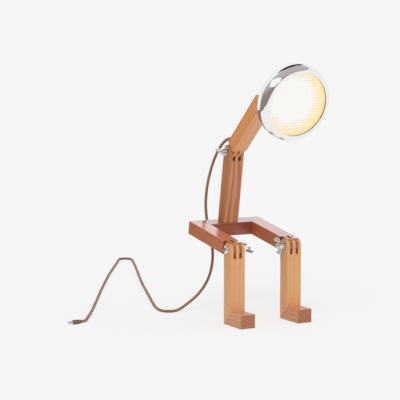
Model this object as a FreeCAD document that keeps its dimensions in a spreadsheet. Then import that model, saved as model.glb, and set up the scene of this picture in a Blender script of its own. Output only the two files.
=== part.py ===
import FreeCAD, Part
import math
import os
import re

import Sketcher
from FreeCAD import Placement, Rotation, Vector

# A desk lamp in the shape of a seated figure, in oiled hardwood with a chrome headlamp for a head.
# Lengths are in millimetres. The lamp faces -Y, +Z is up, and left and right are the figure's own:
# left is +X. It stands on the soles of its two feet at Z = 0, with the origin at the middle of the
# box around it, the free cord left out.

SIZES = {
    # the wood, one rectangular section for every stick
    "stock_width": 25,          # across the lamp, along X
    "stock_depth": 21,          # the other way
    "edge_round": 0.9,          # softened long edges
    "hip_width": 125,           # over both legs
    "foot_length": 52,          # heel to toe
    "knee_height": 115,         # sole to the knee's pivot
    "thigh_length": 123,        # knee pivot to the seat's back face
    "seat_slope": 9.5,          # degrees, the seat falls towards the knees
    "torso_rise": 113,          # seat top to the neck's pivot
    "torso_setback": 2.2,       # seat's back face to the torso's back face
    "arm_length": 126,          # neck pivot to the tip of the neck piece
    "arm_lean": 48,             # degrees forward of upright
    "arm_cut": 45,              # degrees off square, at the end that carries the head
    # the knuckles
    "slot_drop": 13,            # pivot to the floor of a slot
    "shoulder_reach": 13,       # pivot to the shoulder above the tongues
    "tongue_play": 0.2,         # each side of a tongue in its slot
    "dowel_diameter": 6,
    "foot_dowel_length": 14,
    "hip_dowel_length": 20,
    "torso_dowel_length": 22,
    "torso_dowel_spacing": 11,
    # M6 hardware
    "bolt_diameter": 6,
    "bolt_play": 0.05,          # radial, in every bore the bolt turns in
    "bolt_length": 40,
    "bolt_head_diameter": 12,
    "bolt_head_height": 4.6,
    "recess_width": 1.5,
    "recess_span": 6.6,
    "recess_depth": 2.2,
    "washer_diameter": 12.5,
    "washer_thickness": 1.6,
    "washer_bore": 6.4,
    "nut_gap": 0.1,             # wing nut to washer
    "nut_base_diameter": 11,
    "nut_top_diameter": 8,
    "nut_height": 8,
    "wing_span": 28,
    "wing_height": 14,
    "wing_thickness": 2.2,
    "wing_round": 2.4,
    "neck_nut_turn": 73,        # degrees, how each wing nut is left standing
    "left_nut_turn": 20,
    "right_nut_turn": 115,
    # the headlamp, axial sizes from its widest circle
    "head_reach": 90.5,         # cut face of the neck piece to the widest circle, square to the face
    "head_rise": 12,
    "head_tilt": 10,            # degrees down from square to the cut face
    "bezel_radius": 58.3,
    "bezel_mouth": 48,          # radius of the opening
    "bezel_rise": 10.5,         # widest circle to the front of the lip
    "bezel_round": 11.2,        # radius of the rolled front
    "bezel_skirt": 9,           # widest circle back to the rear edge
    "bezel_taper": 0.8,
    "bezel_wall": 0.9,
    "gasket_thickness": 1.6,
    "lens_radius": 51.5,
    "lens_edge": 3,
    "lens_dome": 8,
    "lens_wall": 3,
    "shell_radius": 54,
    "shell_depth": 80,
    "shell_nose_radius": 20,
    "shell_nose_angle": 50,     # degrees
    "shell_wall": 1,
    "reflector_wall": 0.8,
    "reflector_rim": 54.5,
    "reflector_radius": 50,
    "reflector_neck": 14,
    "reflector_depth": 30,
    "reflector_curve": 58,      # radius of its section
    "shell_flange": 56,
    "holder_radius": 9,
    "holder_flange": 17,
    "holder_front": 12,         # radius inside the reflector's neck
    "holder_step": 4,
    "holder_length": 14,
    "bulb_radius": 8,
    "bulb_length": 24,
    "bezel_screw_diameter": 4,
    "bezel_screw_head": 7,
    "bezel_screw_length": 8,
    # the head's mount, a hollow M8 stud
    "boss_radius": 11,
    "boss_reach": 40,           # runs into the shell's form, and is trimmed to it
    "stud_radius": 4,
    "stud_bore": 2.4,           # radius
    "stud_grip": 5,             # length in the wood
    "stud_reach": 24,           # length outside the wood
    "insert_radius": 5.5,
    "insert_length": 7,
    "clip_width": 8,
    "clip_length": 6,
    # the cord and what is on it
    "cord_diameter": 4.5,
    "lead_diameter": 3.4,
    "lead_bore": 2.6,           # radius of the bore along the neck piece
    "lead_offset": 5,           # that bore's distance behind the middle of the neck piece
    "bush_exit": 18,            # neck pivot to the bush, along the back face
    "bush_slant": 42,           # degrees between the bush and the neck piece
    "bush_radius": 3.3,
    "bush_tip_radius": 2.9,
    "bush_bore": 2.3,           # radius
    "bush_seat": 4,             # length in the wood, from the back face
    "bush_stand": 11,           # length outside
    "plug_diameter": 7,
    "plug_length": 15,
    "pin_diameter": 3.8,
    "pin_length": 9,
    "pin_bore": 1.3,
}

SIDES = (("left", 1), ("right", -1))

doc = FreeCAD.newDocument("figure_lamp")
sheet = doc.addObject("Spreadsheet::Sheet", "Sizes")
for row, (alias, number) in enumerate(SIZES.items(), start=1):
    sheet.set(f"A{row}", alias)
    sheet.set(f"B{row}", str(number))
    sheet.setAlias(f"B{row}", alias)
doc.recompute()

nodes = {}                      # node name: the object whose shape is that piece


# ---------------------------------------------------------------- helpers

def bound(text):
    """An expression on the sheet's aliases, such as "stock_depth / 2", with the sheet's name added."""
    return re.sub(r"[a-z_]+", lambda m: f"Sizes.{m[0]}" if m[0] in SIZES else m[0], str(text))


def value(text):
    """The number that such an expression has now."""
    found = sheet.evalExpression(bound(text))
    return float(getattr(found, "Value", found))


def add(kind, name):
    thing = doc.addObject(kind, name)
    thing.Label = name
    return thing


def new_body(name):
    return add("PartDesign::Body", name)


def origin_feature(body, role):
    return next(f for f in body.Origin.OriginFeatures if f.Role == role)


def new_sketch(body, name, role, lift="0"):
    """A sketch on one of the body's origin planes, lifted off it along its normal."""
    sketch = body.newObject("Sketcher::SketchObject", f"{body.Name}_{name}")
    sketch.AttachmentSupport = [(origin_feature(body, role), "")]
    sketch.MapMode = "FlatFace"
    if lift != "0":
        sketch.setExpression("AttachmentOffset.Base.z", bound(lift))
    return sketch


def pin_point(sketch, geometry, end, corner):
    """Hold one point of the sketch at (x, y), both bound to the sheet."""
    for kind, text in zip(("DistanceX", "DistanceY"), corner):
        number = value(text)
        if abs(number) < 1e-9 and str(text) == "0":
            other = -2 if kind == "DistanceX" else -1
            sketch.addConstraint(Sketcher.Constraint("PointOnObject", geometry, end, other))
            continue
        made = sketch.addConstraint(Sketcher.Constraint(kind, -1, 1, geometry, end, number))
        sketch.setExpression(f"Constraints[{made}]", bound(text))


def arc_between(start, finish, radius, bulge):
    """The arc between start and finish, drawn anticlockwise; seen along the way it bulges to the left
    with bulge +1 and to the right with -1."""
    a, b = Vector(*start, 0), Vector(*finish, 0)
    half = (b - a).Length / 2
    middle = (a + b) / 2
    left = Vector(-(b - a).y, (b - a).x, 0).normalize()
    back = math.sqrt(max(radius ** 2 - half ** 2, 0))
    centre = middle - left * back * bulge
    top = centre + left * radius * bulge
    return Part.Arc(a, top, b) if bulge < 0 else Part.Arc(b, top, a)


def outline(body, name, role, corners, arcs=None, tangents=(), lift="0"):
    """A closed outline. arcs: {edge: (radius text or number, bulge)}; tangents: corners kept smooth.
    A radius given as a number is only where the arc starts from, and a tangent settles it."""
    arcs = arcs or {}
    sketch = new_sketch(body, name, role, lift)
    spots = [(value(x), value(y)) for x, y in corners]
    count = len(spots)
    for edge in range(count):
        start, finish = spots[edge], spots[(edge + 1) % count]
        if edge in arcs:
            radius, bulge = arcs[edge]
            shape = arc_between(start, finish, value(radius), bulge)
        else:
            shape = Part.LineSegment(Vector(*start, 0), Vector(*finish, 0))
        sketch.addGeometry(shape, False)
    # an arc runs anticlockwise whichever way the outline goes, so its ends are found by place
    ends = []
    for edge in range(count):
        shape = sketch.Geometry[edge]
        first = Vector(*spots[edge], 0)
        forward = (shape.StartPoint - first).Length < (shape.EndPoint - first).Length
        ends.append((1, 2) if forward else (2, 1))
    for edge in range(count):
        following = (edge + 1) % count
        kind = "Tangent" if following in tangents else "Coincident"
        sketch.addConstraint(
            Sketcher.Constraint(kind, edge, ends[edge][1], following, ends[following][0]))
    for edge, corner in enumerate(corners):
        pin_point(sketch, edge, ends[edge][0], corner)
    for edge, (radius, _) in arcs.items():
        if isinstance(radius, str):
            made = sketch.addConstraint(Sketcher.Constraint("Radius", edge, value(radius)))
            sketch.setExpression(f"Constraints[{made}]", bound(radius))
    return sketch


def disc(body, name, role, centre, radius, lift="0"):
    """A circle, its centre and radius bound to the sheet."""
    sketch = new_sketch(body, name, role, lift)
    middle = Vector(value(centre[0]), value(centre[1]), 0)
    sketch.addGeometry(Part.Circle(middle, Vector(0, 0, 1), value(radius)), False)
    if centre == ("0", "0"):
        sketch.addConstraint(Sketcher.Constraint("Coincident", 0, 3, -1, 1))
    else:
        pin_point(sketch, 0, 3, centre)
    made = sketch.addConstraint(Sketcher.Constraint("Radius", 0, value(radius)))
    sketch.setExpression(f"Constraints[{made}]", bound(radius))
    return sketch


def extrude(body, kind, sketch, length, symmetric=True):
    feature = body.newObject(f"PartDesign::{kind}", f"{sketch.Name}_{kind.lower()}")
    feature.Profile = sketch
    feature.setExpression("Length", bound(length))
    feature.SideType = "Symmetric" if symmetric else "One side"
    doc.recompute()
    body.Tip = feature
    return feature


def pad(body, sketch, length, symmetric=True):
    return extrude(body, "Pad", sketch, length, symmetric)


def pocket(body, sketch, length, symmetric=True):
    """Cut, and make sure that something was cut."""
    before = body.Shape.Volume
    feature = extrude(body, "Pocket", sketch, length, symmetric)
    if feature.Shape.Volume > before - 1e-6:
        raise RuntimeError(f"{feature.Name} cuts nothing")
    return feature


def turn(body, sketch):
    """Turn the sketch a full circle about its own vertical axis."""
    feature = body.newObject("PartDesign::Revolution", f"{sketch.Name}_turned")
    feature.Profile = sketch
    feature.ReferenceAxis = (sketch, ["V_Axis"])
    feature.Angle = 360
    doc.recompute()
    body.Tip = feature
    return feature


def soften(body, radius, wanted):
    """Round the edges that wanted(edge) picks from the body's last feature."""
    doc.recompute()
    base = body.Tip
    picked = [f"Edge{i}" for i, edge in enumerate(base.Shape.Edges, start=1) if wanted(edge)]
    feature = body.newObject("PartDesign::Fillet", f"{body.Name}_softened")
    feature.Base = (base, picked)
    feature.setExpression("Radius", bound(radius))
    doc.recompute()
    body.Tip = feature
    return feature


def runs_along(edge, axis):
    if not isinstance(edge.Curve, Part.Line):
        return False
    way = edge.Vertexes[-1].Point - edge.Vertexes[0].Point
    return abs(way.normalize().dot(axis)) > 0.999


def cylinder(name, radius, height, spot, way, centred=True):
    """A rod of the given axis; spot is its middle, or its start when centred is False."""
    rod = add("Part::Cylinder", name)
    rod.setExpression("Radius", bound(radius))
    rod.setExpression("Height", bound(height))
    back = value(height) / 2 if centred else 0
    way = Vector(way).normalize()
    rod.Placement = Placement(Vector(spot) - way * back, Rotation(Vector(0, 0, 1), way))
    return rod


def cut(name, base, *tools):
    """base less each tool, one Part::Cut after another; the last one bears the name."""
    for step, tool in enumerate(tools, start=1):
        last = step == len(tools)
        made = add("Part::Cut", name if last else f"{name}_cut_{step}")
        made.Base, made.Tool = base, tool
        base = made
    doc.recompute()
    return base


def group(name, pieces):
    made = add("Part::Compound", name)
    made.Links = pieces
    doc.recompute()
    return made


def tilt(degrees):
    """A turn about X; a positive one leans what stands upright towards -Y."""
    return Placement(Vector(), Rotation(Vector(1, 0, 0), degrees))


def shift(x=0, y=0, z=0):
    return Placement(Vector(x, y, z), Rotation())


def keep(name, thing, place):
    """Put a finished piece where it goes and keep it as a node."""
    thing.Placement = place * thing.Placement
    thing.Label = name
    nodes[name] = thing


# ---------------------------------------------------------------- where things go

HALF_DEPTH = value("stock_depth / 2")
LEG_CENTRE = value("(hip_width - stock_width) / 2")
seat_frame = shift(z=value("knee_height")) * tilt(value("seat_slope"))
torso_middle = value("thigh_length - torso_setback - stock_depth / 2")
torso_frame = seat_frame * shift(y=torso_middle, z=HALF_DEPTH)
neck_pivot = torso_frame.multVec(Vector(0, 0, value("torso_rise")))
arm_frame = Placement(neck_pivot, Rotation()) * tilt(value("arm_lean"))
cut_middle = value("arm_length - stock_depth / 2 * tan(arm_cut * 1 deg)")
mount_frame = arm_frame * shift(z=cut_middle) * tilt(value("arm_cut") - 90)
head_frame = mount_frame * shift(y=-value("head_reach"), z=value("head_rise")) * tilt(value("head_tilt"))


# ---------------------------------------------------------------- knuckles
# Every pivot is a finger joint: five equal leaves across the stock, three on the lower piece and
# two on the upper one, with rounded ends about one M6 bolt.

def slot_post(body, pivot):
    """Round the top of an upright stick about its pivot, saw the two slots and drill the bore."""
    pad(body, disc(body, "knuckle", "YZ_Plane", ("0", pivot), "stock_depth / 2"), "stock_width")
    for word, sign in SIDES:
        near, far = f"{sign} * stock_width / 10", f"{sign} * stock_width * 0.3"
        floor, top = f"({pivot}) - slot_drop", f"({pivot}) + stock_depth"
        slot = outline(body, f"slot_{word}", "XZ_Plane",
                       [(near, floor), (far, floor), (far, top), (near, top)])
        pocket(body, slot, "stock_depth * 2")
    bore = disc(body, "pivot_bore", "YZ_Plane", ("0", pivot), "bolt_diameter / 2 + bolt_play")
    pocket(body, bore, "stock_width * 2")


def tongue_end(body, length_role, along):
    """Cut two tongues on the end of a stick whose pivot is at its origin, and drill the bore.
    length_role is the plane that holds X and the stick's length; along maps (x, length) to it."""
    pad(body, disc(body, "knuckle", "YZ_Plane", ("0", "0"), "stock_depth / 2"), "stock_width")
    tongue_near = "stock_width / 10 + tongue_play"
    tongue_far = "stock_width * 0.3 - tongue_play"
    end = "-stock_depth"
    gaps = [("middle", f"-({tongue_near})", tongue_near),
            ("left", tongue_far, "stock_width"),
            ("right", "-stock_width", f"-({tongue_far})")]
    for word, low, high in gaps:
        corners = [(low, end), (high, end), (high, "shoulder_reach"), (low, "shoulder_reach")]
        pocket(body, outline(body, f"gap_{word}", length_role, along(corners)), "stock_depth * 2")
    bore = disc(body, "pivot_bore", "YZ_Plane", ("0", "0"), "bolt_diameter / 2 + bolt_play")
    pocket(body, bore, "stock_width * 2")


# ---------------------------------------------------------------- legs
# A shin and a foot from the same stock, mitred and dowelled at the heel. Local origin: the knee.

ALONG_Y, ALONG_Z = Vector(0, 1, 0), Vector(0, 0, 1)
heel_middle = Vector(0, 0, -value("knee_height - stock_depth / 2"))
across_heel = Vector(0, 1, 1)

for word, side in SIDES:
    knee = shift(x=side * LEG_CENTRE, z=value("knee_height"))
    sole, instep = "-knee_height", "-(knee_height - stock_depth)"

    shin = new_body(f"shin_{word}_wood")
    pad(shin, outline(shin, "post", "YZ_Plane", [
        ("stock_depth / 2", "0"), ("-stock_depth / 2", "0"),
        ("-stock_depth / 2", instep), ("stock_depth / 2", sole)]), "stock_width")
    slot_post(shin, "0")
    long_edge = value("knee_height - stock_depth") * 0.9
    soften(shin, "edge_round", lambda e: runs_along(e, ALONG_Z) and e.Length > long_edge)
    foot = new_body(f"foot_{word}_wood")
    toe = "-(foot_length - stock_depth / 2)"
    pad(foot, outline(foot, "block", "YZ_Plane", [
        ("stock_depth / 2", sole), ("-stock_depth / 2", instep), (toe, instep), (toe, sole)]),
        "stock_width")
    short = value("foot_length - stock_depth") * 0.9
    soften(foot, "edge_round", lambda e: runs_along(e, ALONG_Y) and e.Length > short
           or abs(e.CenterOfMass.y - value(toe)) < 1e-3)

    for name, wood in ((f"shin_{word}", shin), (f"foot_{word}", foot)):
        bore = cylinder(f"{name}_dowel_bore", "dowel_diameter / 2", "foot_dowel_length",
                        heel_middle, across_heel)
        keep(name, cut(name, wood, bore), knee)
    dowel = cylinder(f"heel_dowel_{word}", "dowel_diameter / 2", "foot_dowel_length",
                     heel_middle, across_heel)
    keep(f"heel_dowel_{word}", dowel, knee)


# ---------------------------------------------------------------- seat
# Two thighs and a hip bar, mitred at the back corners. Local origin: midway between the knees,
# +Y back along the seat.

def hip_dowel(name, side):
    middle = Vector(side * LEG_CENTRE, value("thigh_length - stock_width / 2"), 0)
    return cylinder(name, "dowel_diameter / 2", "hip_dowel_length", middle, Vector(side, -1, 0))


def torso_dowel(name, side):
    middle = Vector(side * value("torso_dowel_spacing / 2"), torso_middle, HALF_DEPTH)
    return cylinder(name, "dowel_diameter / 2", "torso_dowel_length", middle, Vector(0, 0, 1))


for word, side in SIDES:
    thigh = new_body(f"thigh_{word}_wood")
    inner, outer = f"{-side} * stock_width / 2", f"{side} * stock_width / 2"
    pad(thigh, outline(thigh, "stick", "XY_Plane", [
        (inner, "0"), (outer, "0"), (outer, "thigh_length"), (inner, "thigh_length - stock_width")]),
        "stock_depth")
    tongue_end(thigh, "XY_Plane", lambda corners: corners)
    long_edge = value("thigh_length - stock_width - shoulder_reach") * 0.9
    soften(thigh, "edge_round", lambda e: runs_along(e, ALONG_Y) and e.Length > long_edge)
    thigh.Placement = shift(x=side * LEG_CENTRE)
    bored = cut(f"thigh_{word}", thigh, hip_dowel(f"thigh_{word}_dowel_bore", side))
    keep(f"thigh_{word}", bored, seat_frame)

hip = new_body("hip_bar_wood")
pad(hip, outline(hip, "bar", "XY_Plane", [
    ("-hip_width / 2", "thigh_length"), ("hip_width / 2", "thigh_length"),
    ("hip_width / 2 - stock_width", "thigh_length - stock_width"),
    ("-(hip_width / 2 - stock_width)", "thigh_length - stock_width")]), "stock_depth")
soften(hip, "edge_round", lambda e: runs_along(e, Vector(1, 0, 0)))
hip_bores = [hip_dowel(f"hip_bar_bore_{word}", side) for word, side in SIDES]
hip_bores += [torso_dowel(f"hip_bar_torso_bore_{word}", side) for word, side in SIDES]
keep("hip_bar", cut("hip_bar", hip, *hip_bores), seat_frame)
keep("hip_dowels", group("hip_dowels", [hip_dowel(f"hip_dowel_{w}", s) for w, s in SIDES]), seat_frame)

torso = new_body("torso_wood")
pad(torso, outline(torso, "post", "YZ_Plane", [
    ("stock_depth / 2", "0"), ("stock_depth / 2", "torso_rise"),
    ("-stock_depth / 2", "torso_rise"), ("-stock_depth / 2", "0")]), "stock_width")
slot_post(torso, "torso_rise")
long_edge = value("torso_rise") * 0.9
soften(torso, "edge_round", lambda e: runs_along(e, ALONG_Z) and e.Length > long_edge)
torso.Placement = shift(y=torso_middle, z=HALF_DEPTH)
torso_bores = [torso_dowel(f"torso_bore_{word}", side) for word, side in SIDES]
keep("torso_post", cut("torso_post", torso, *torso_bores), seat_frame)
keep("torso_dowels", group("torso_dowels", [torso_dowel(f"torso_dowel_{w}", s) for w, s in SIDES]),
     seat_frame)


# ---------------------------------------------------------------- neck piece
# The stick between the neck pivot and the head, bored for the lead. Local origin: the neck pivot,
# +Z along the stick, +Y its back face.

arm = new_body("neck_piece_wood")
tip_front = "arm_length - stock_depth * tan(arm_cut * 1 deg)"
pad(arm, outline(arm, "stick", "YZ_Plane", [
    ("stock_depth / 2", "0"), ("stock_depth / 2", "arm_length"),
    ("-stock_depth / 2", tip_front), ("-stock_depth / 2", "0")]), "stock_width")
tongue_end(arm, "XZ_Plane", lambda corners: corners)
long_edge = value(f"{tip_front} - shoulder_reach") * 0.9
soften(arm, "edge_round", lambda e: runs_along(e, ALONG_Z) and e.Length > long_edge)
slant = math.radians(value("bush_slant"))
bush_way = Vector(0, math.sin(slant), -math.cos(slant))
bush_mouth = Vector(0, HALF_DEPTH, value("bush_exit"))
lead_turn = bush_mouth - bush_way * (value("stock_depth / 2 - lead_offset") / math.sin(slant))
stud_turn = Vector(0, value("lead_offset"), cut_middle - value("lead_offset"))
# each bore runs a little past the turn it ends at, to leave the lead room to bend
overrun = value("lead_bore")
lead_bore = cylinder("neck_piece_lead_bore", "lead_bore",
                     f"{(stud_turn - lead_turn).Length + overrun}", lead_turn, ALONG_Z, False)
bush_bore = cylinder("neck_piece_bush_bore", "bush_radius", "stock_depth * 2",
                     lead_turn - bush_way * overrun, bush_way, False)
mount_in_arm = arm_frame.inverse() * mount_frame
insert_bore = cylinder("neck_piece_insert_bore", "insert_radius", "insert_length",
                       mount_in_arm.Base, mount_in_arm.Rotation.multVec(ALONG_Y), False)
keep("neck_piece", cut("neck_piece", arm, lead_bore, bush_bore, insert_bore), arm_frame)


# ---------------------------------------------------------------- bolts, washers and wing nuts
# Local +Z points away from the wood.

def pan_head_bolt(name):
    body = new_body(name)
    profile = outline(body, "profile", "XZ_Plane", [
        ("0", "-bolt_length"), ("bolt_diameter / 2", "-bolt_length"), ("bolt_diameter / 2", "0"),
        ("bolt_head_diameter / 2", "0"), ("bolt_head_diameter / 2", "bolt_head_height * 0.35"),
        ("bolt_head_diameter * 0.3", "bolt_head_height"), ("0", "bolt_head_height")],
        arcs={4: ("bolt_head_height * 0.85", -1)})
    turn(body, profile)
    for word, wide, tall in (("bar", "recess_span", "recess_width"), ("post", "recess_width", "recess_span")):
        x, y = f"({wide}) / 2", f"({tall}) / 2"
        slot = outline(body, f"recess_{word}", "XY_Plane",
                       [(x, y), (f"-{x}", y), (f"-{x}", f"-{y}"), (x, f"-{y}")], lift="bolt_head_height")
        pocket(body, slot, "recess_depth", symmetric=False)
    return body


def washer(name):
    body = new_body(name)
    pad(body, disc(body, "rim", "XY_Plane", ("0", "0"), "washer_diameter / 2"), "washer_thickness", False)
    hole = disc(body, "hole", "XY_Plane", ("0", "0"), "washer_bore / 2")
    pocket(body, hole, "washer_thickness * 3")
    return body


def wing_nut(name):
    """A coned hub with two wings that flare out and up."""
    body = new_body(name)
    hub = outline(body, "hub", "XZ_Plane", [
        ("0", "0"), ("nut_base_diameter / 2", "0"), ("nut_base_diameter / 2", "nut_height / 4"),
        ("nut_top_diameter / 2", "nut_height"), ("0", "nut_height")])
    turn(body, hub)
    wing = outline(body, "wing", "XZ_Plane", [
        ("nut_top_diameter / 4", "nut_height * 0.15"), ("nut_base_diameter / 2", "nut_height * 0.2"),
        ("wing_span / 2", "wing_height * 0.5"), ("wing_span / 2", "wing_height"),
        ("wing_span * 0.29", "wing_height"), ("nut_top_diameter / 2", "nut_height * 0.85"),
        ("nut_top_diameter / 4", "nut_height * 0.85")])
    first = pad(body, wing, "wing_thickness")
    both = body.newObject("PartDesign::PolarPattern", f"{name}_wings")
    both.Originals = [first]
    both.Axis = (origin_feature(body, "Z_Axis"), [""])
    both.Angle = 360
    both.Occurrences = 2
    body.Tip = both
    outer = value("wing_span") * 0.28
    soften(body, "wing_round", lambda e: runs_along(e, ALONG_Y) and abs(e.CenterOfMass.x) > outer)
    bore = disc(body, "bore", "XY_Plane", ("0", "0"), "bolt_diameter / 2 + bolt_play")
    pocket(body, bore, "nut_height * 4")
    return body


def bolt_set(word, pivot, half_width, way, nut_turn):
    """Bolt, washer and wing nut through a knuckle; way is +1 when the bolt's head faces +X."""
    head_out = Rotation(Vector(0, 1, 0), 90 * way)
    nut_out = Rotation(Vector(0, 1, 0), -90 * way)
    head_seat = pivot + Vector(way * half_width, 0, 0)
    nut_seat = pivot - Vector(way * half_width, 0, 0)
    outwards = Vector(-way, 0, 0)
    keep(f"{word}_bolt", pan_head_bolt(f"{word}_bolt"), Placement(head_seat, head_out))
    keep(f"{word}_washer", washer(f"{word}_washer"), Placement(nut_seat, nut_out))
    lift = value("washer_thickness + nut_gap")
    spin = Placement(Vector(), Rotation(Vector(0, 0, 1), nut_turn))
    keep(f"{word}_wing_nut", wing_nut(f"{word}_wing_nut"),
         Placement(nut_seat + outwards * lift, nut_out) * spin)


half_stock = value("stock_width / 2")
for word, side in SIDES:
    knee_pivot = Vector(side * LEG_CENTRE, 0, value("knee_height"))
    bolt_set(f"{word}_knee", knee_pivot, half_stock, side, value(f"{word}_nut_turn"))
bolt_set("neck", neck_pivot, half_stock, 1, value("neck_nut_turn"))


# ---------------------------------------------------------------- headlamp
# Turned and pressed pieces on one axis. Local origin: the widest circle's centre, +Y backwards.

lip_back = "bezel_wall - bezel_rise"
lens_front = f"{lip_back} + gasket_thickness"
lens_back = f"{lens_front} + lens_edge"
shell_rim = f"{lens_back} + reflector_wall"
rim_back = f"{shell_rim} + shell_wall"

bezel = new_body("bezel_ring_pressing")
turn(bezel, outline(bezel, "profile", "XY_Plane", [
    ("bezel_radius", "0"), ("bezel_mouth", "-bezel_rise"), ("bezel_mouth", lip_back),
    ("bezel_radius - bezel_wall", "0"), ("bezel_radius - bezel_taper - bezel_wall", "bezel_skirt"),
    ("bezel_radius - bezel_taper", "bezel_skirt")],
    arcs={0: ("bezel_round", 1), 2: ("bezel_round - bezel_wall", -1)}))

gasket = new_body("lens_gasket")
turn(gasket, outline(gasket, "profile", "XY_Plane", [
    ("bezel_mouth", lip_back), ("bezel_mouth + gasket_thickness", f"{lip_back} + gasket_thickness / 5"),
    ("lens_radius", lens_front), ("bezel_mouth", lens_front)]))
keep("lens_gasket", gasket, head_frame)

lens = new_body("glass_lens")
turn(lens, outline(lens, "profile", "XY_Plane", [
    ("0", f"{lens_front} - lens_dome"), ("bezel_mouth - 1", lens_front), ("lens_radius", lens_front),
    ("lens_radius", lens_back), ("bezel_mouth - lens_wall", lens_back),
    ("0", f"{lens_back} - lens_dome")],
    arcs={0: ("((bezel_mouth - 1) ^ 2 + lens_dome ^ 2) / (2 * lens_dome)", -1),
          4: ("((bezel_mouth - lens_wall) ^ 2 + lens_dome ^ 2) / (2 * lens_dome)", 1)}))
keep("glass_lens", lens, head_frame)

reflector = new_body("reflector")
turn(reflector, outline(reflector, "profile", "XY_Plane", [
    ("reflector_rim", lens_back), ("reflector_rim", shell_rim), ("reflector_radius", shell_rim),
    ("reflector_neck + reflector_wall", "reflector_depth"), ("reflector_neck", "reflector_depth"),
    ("reflector_radius - reflector_wall", lens_back)],
    arcs={2: ("reflector_curve", -1), 4: ("reflector_curve", 1)}))
keep("reflector", reflector, head_frame)

holder = new_body("lamp_holder")
holder_face = "reflector_depth - holder_step"
turn(holder, outline(holder, "profile", "XY_Plane", [
    ("0", holder_face), ("holder_front", holder_face), ("holder_front", "reflector_depth"),
    ("holder_flange", "reflector_depth"), ("holder_flange", "reflector_depth + holder_step / 2"),
    ("holder_radius", "reflector_depth + holder_step / 2"),
    ("holder_radius", "reflector_depth + holder_length"), ("0", "reflector_depth + holder_length")]))
keep("lamp_holder", holder, head_frame)

bulb = new_body("led_capsule")
turn(bulb, outline(bulb, "profile", "XY_Plane", [
    ("0", f"{holder_face} - bulb_length"), ("bulb_radius", f"{holder_face} - bulb_length + bulb_radius"),
    ("bulb_radius", holder_face), ("0", holder_face)],
    arcs={0: ("bulb_radius", -1)}))
keep("led_capsule", bulb, head_frame)


def shell_body(name, inset):
    """The bowl behind the rim as a solid, drawn in by inset."""
    body = new_body(name)
    nose = f"(shell_nose_radius - {inset})"
    centre = "(shell_depth - shell_nose_radius)"
    angle = "(shell_nose_angle * 1 deg)"
    turn(body, outline(body, "profile", "XY_Plane", [
        ("0", shell_rim), (f"shell_radius - {inset}", shell_rim),
        (f"{nose} * sin{angle}", f"{centre} + {nose} * cos{angle}"),
        ("0", f"shell_depth - {inset}")],
        arcs={1: (180, -1), 2: (nose, -1)}, tangents=(2,)))
    return body


flange = new_body("shell_rim_flange")
turn(flange, outline(flange, "profile", "XY_Plane", [
    ("shell_radius - shell_wall", shell_rim), ("shell_flange", shell_rim),
    ("shell_flange", rim_back), ("shell_radius - shell_wall", rim_back)]))
shell_form = shell_body("shell_form", "0")
shell_hollow = shell_body("shell_hollow", "shell_wall")
shell_solid = add("Part::Fuse", "shell_and_flange")
shell_solid.Base, shell_solid.Tool = shell_form, flange
mount_in_head = head_frame.inverse() * mount_frame
forwards = mount_in_head.Rotation.multVec(-ALONG_Y)
stud_hole = cylinder("shell_stud_hole", "stud_radius", "boss_reach", mount_in_head.Base, forwards, False)
screw_along = value("bezel_skirt / 2")
screw_seat = Vector(0, screw_along, 0.05 - value("bezel_radius"))


def screw_hole(name):
    return cylinder(name, "bezel_screw_diameter / 2", "bezel_screw_length * 2", screw_seat, ALONG_Z)


keep("head_shell", cut("head_shell", shell_solid, shell_hollow, stud_hole,
                       screw_hole("shell_screw_hole")), head_frame)
keep("bezel_ring", cut("bezel_ring", bezel, screw_hole("bezel_screw_hole")), head_frame)

clip = add("Part::Box", "rim_clip_block")
clip_top = value("shell_radius - 3")
clip_foot = value("bezel_radius - bezel_wall - bezel_taper - 0.3")
clip.setExpression("Length", bound("clip_width"))
clip.setExpression("Width", bound("clip_length"))
clip.setExpression("Height", f"{clip_foot - clip_top}")
clip.Placement = shift(-value("clip_width / 2"), screw_along - value("clip_length / 2"), -clip_foot)
clip_form = shell_body("clip_trim", "0")
keep("rim_clip", cut("rim_clip", clip, clip_form, screw_hole("rim_clip_hole")), head_frame)

screw = new_body("bezel_screw")
turn(screw, outline(screw, "profile", "XZ_Plane", [
    ("0", "-bezel_screw_length"), ("bezel_screw_diameter / 2", "-bezel_screw_length"),
    ("bezel_screw_diameter / 2", "0"), ("bezel_screw_head / 2", "0"),
    ("bezel_screw_head / 2", "bezel_screw_head * 0.1"), ("0", "bezel_screw_head * 0.35")],
    arcs={4: ("bezel_screw_head * 0.625", -1)}))
keep("bezel_screw", screw, head_frame * Placement(screw_seat, Rotation(Vector(1, 0, 0), 180)))


# ---------------------------------------------------------------- the head's mount
# Local origin: the middle of the neck piece's cut face, -Y forwards along the stud.

boss_rod = cylinder("mount_boss_rod", "boss_radius", "boss_reach", Vector(), -ALONG_Y, False)
boss_trim = shell_body("boss_trim", "0")
boss_trim.Placement = mount_in_head.inverse()
boss_hole = cylinder("mount_boss_hole", "stud_radius", "boss_reach", Vector(), -ALONG_Y, False)
keep("mount_boss", cut("mount_boss", boss_rod, boss_trim, boss_hole), mount_frame)


def tube_between(name, outer, inner, back, front):
    """A tube along the mount's axis, from back in the wood to front outside it."""
    length = f"{back} + {front}"
    start = Vector(0, value(back), 0)
    rod = cylinder(f"{name}_rod", outer, length, start, -ALONG_Y, False)
    hole = cylinder(f"{name}_hole", inner, length, start, -ALONG_Y, False)
    return cut(name, rod, hole)


keep("mount_stud", tube_between("mount_stud", "stud_radius", "stud_bore", "stud_grip", "stud_reach"),
     mount_frame)
keep("neck_insert", tube_between("neck_insert", "insert_radius", "stud_radius", "insert_length", "0"),
     mount_frame)


# ---------------------------------------------------------------- cable bush, lead and cord

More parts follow.
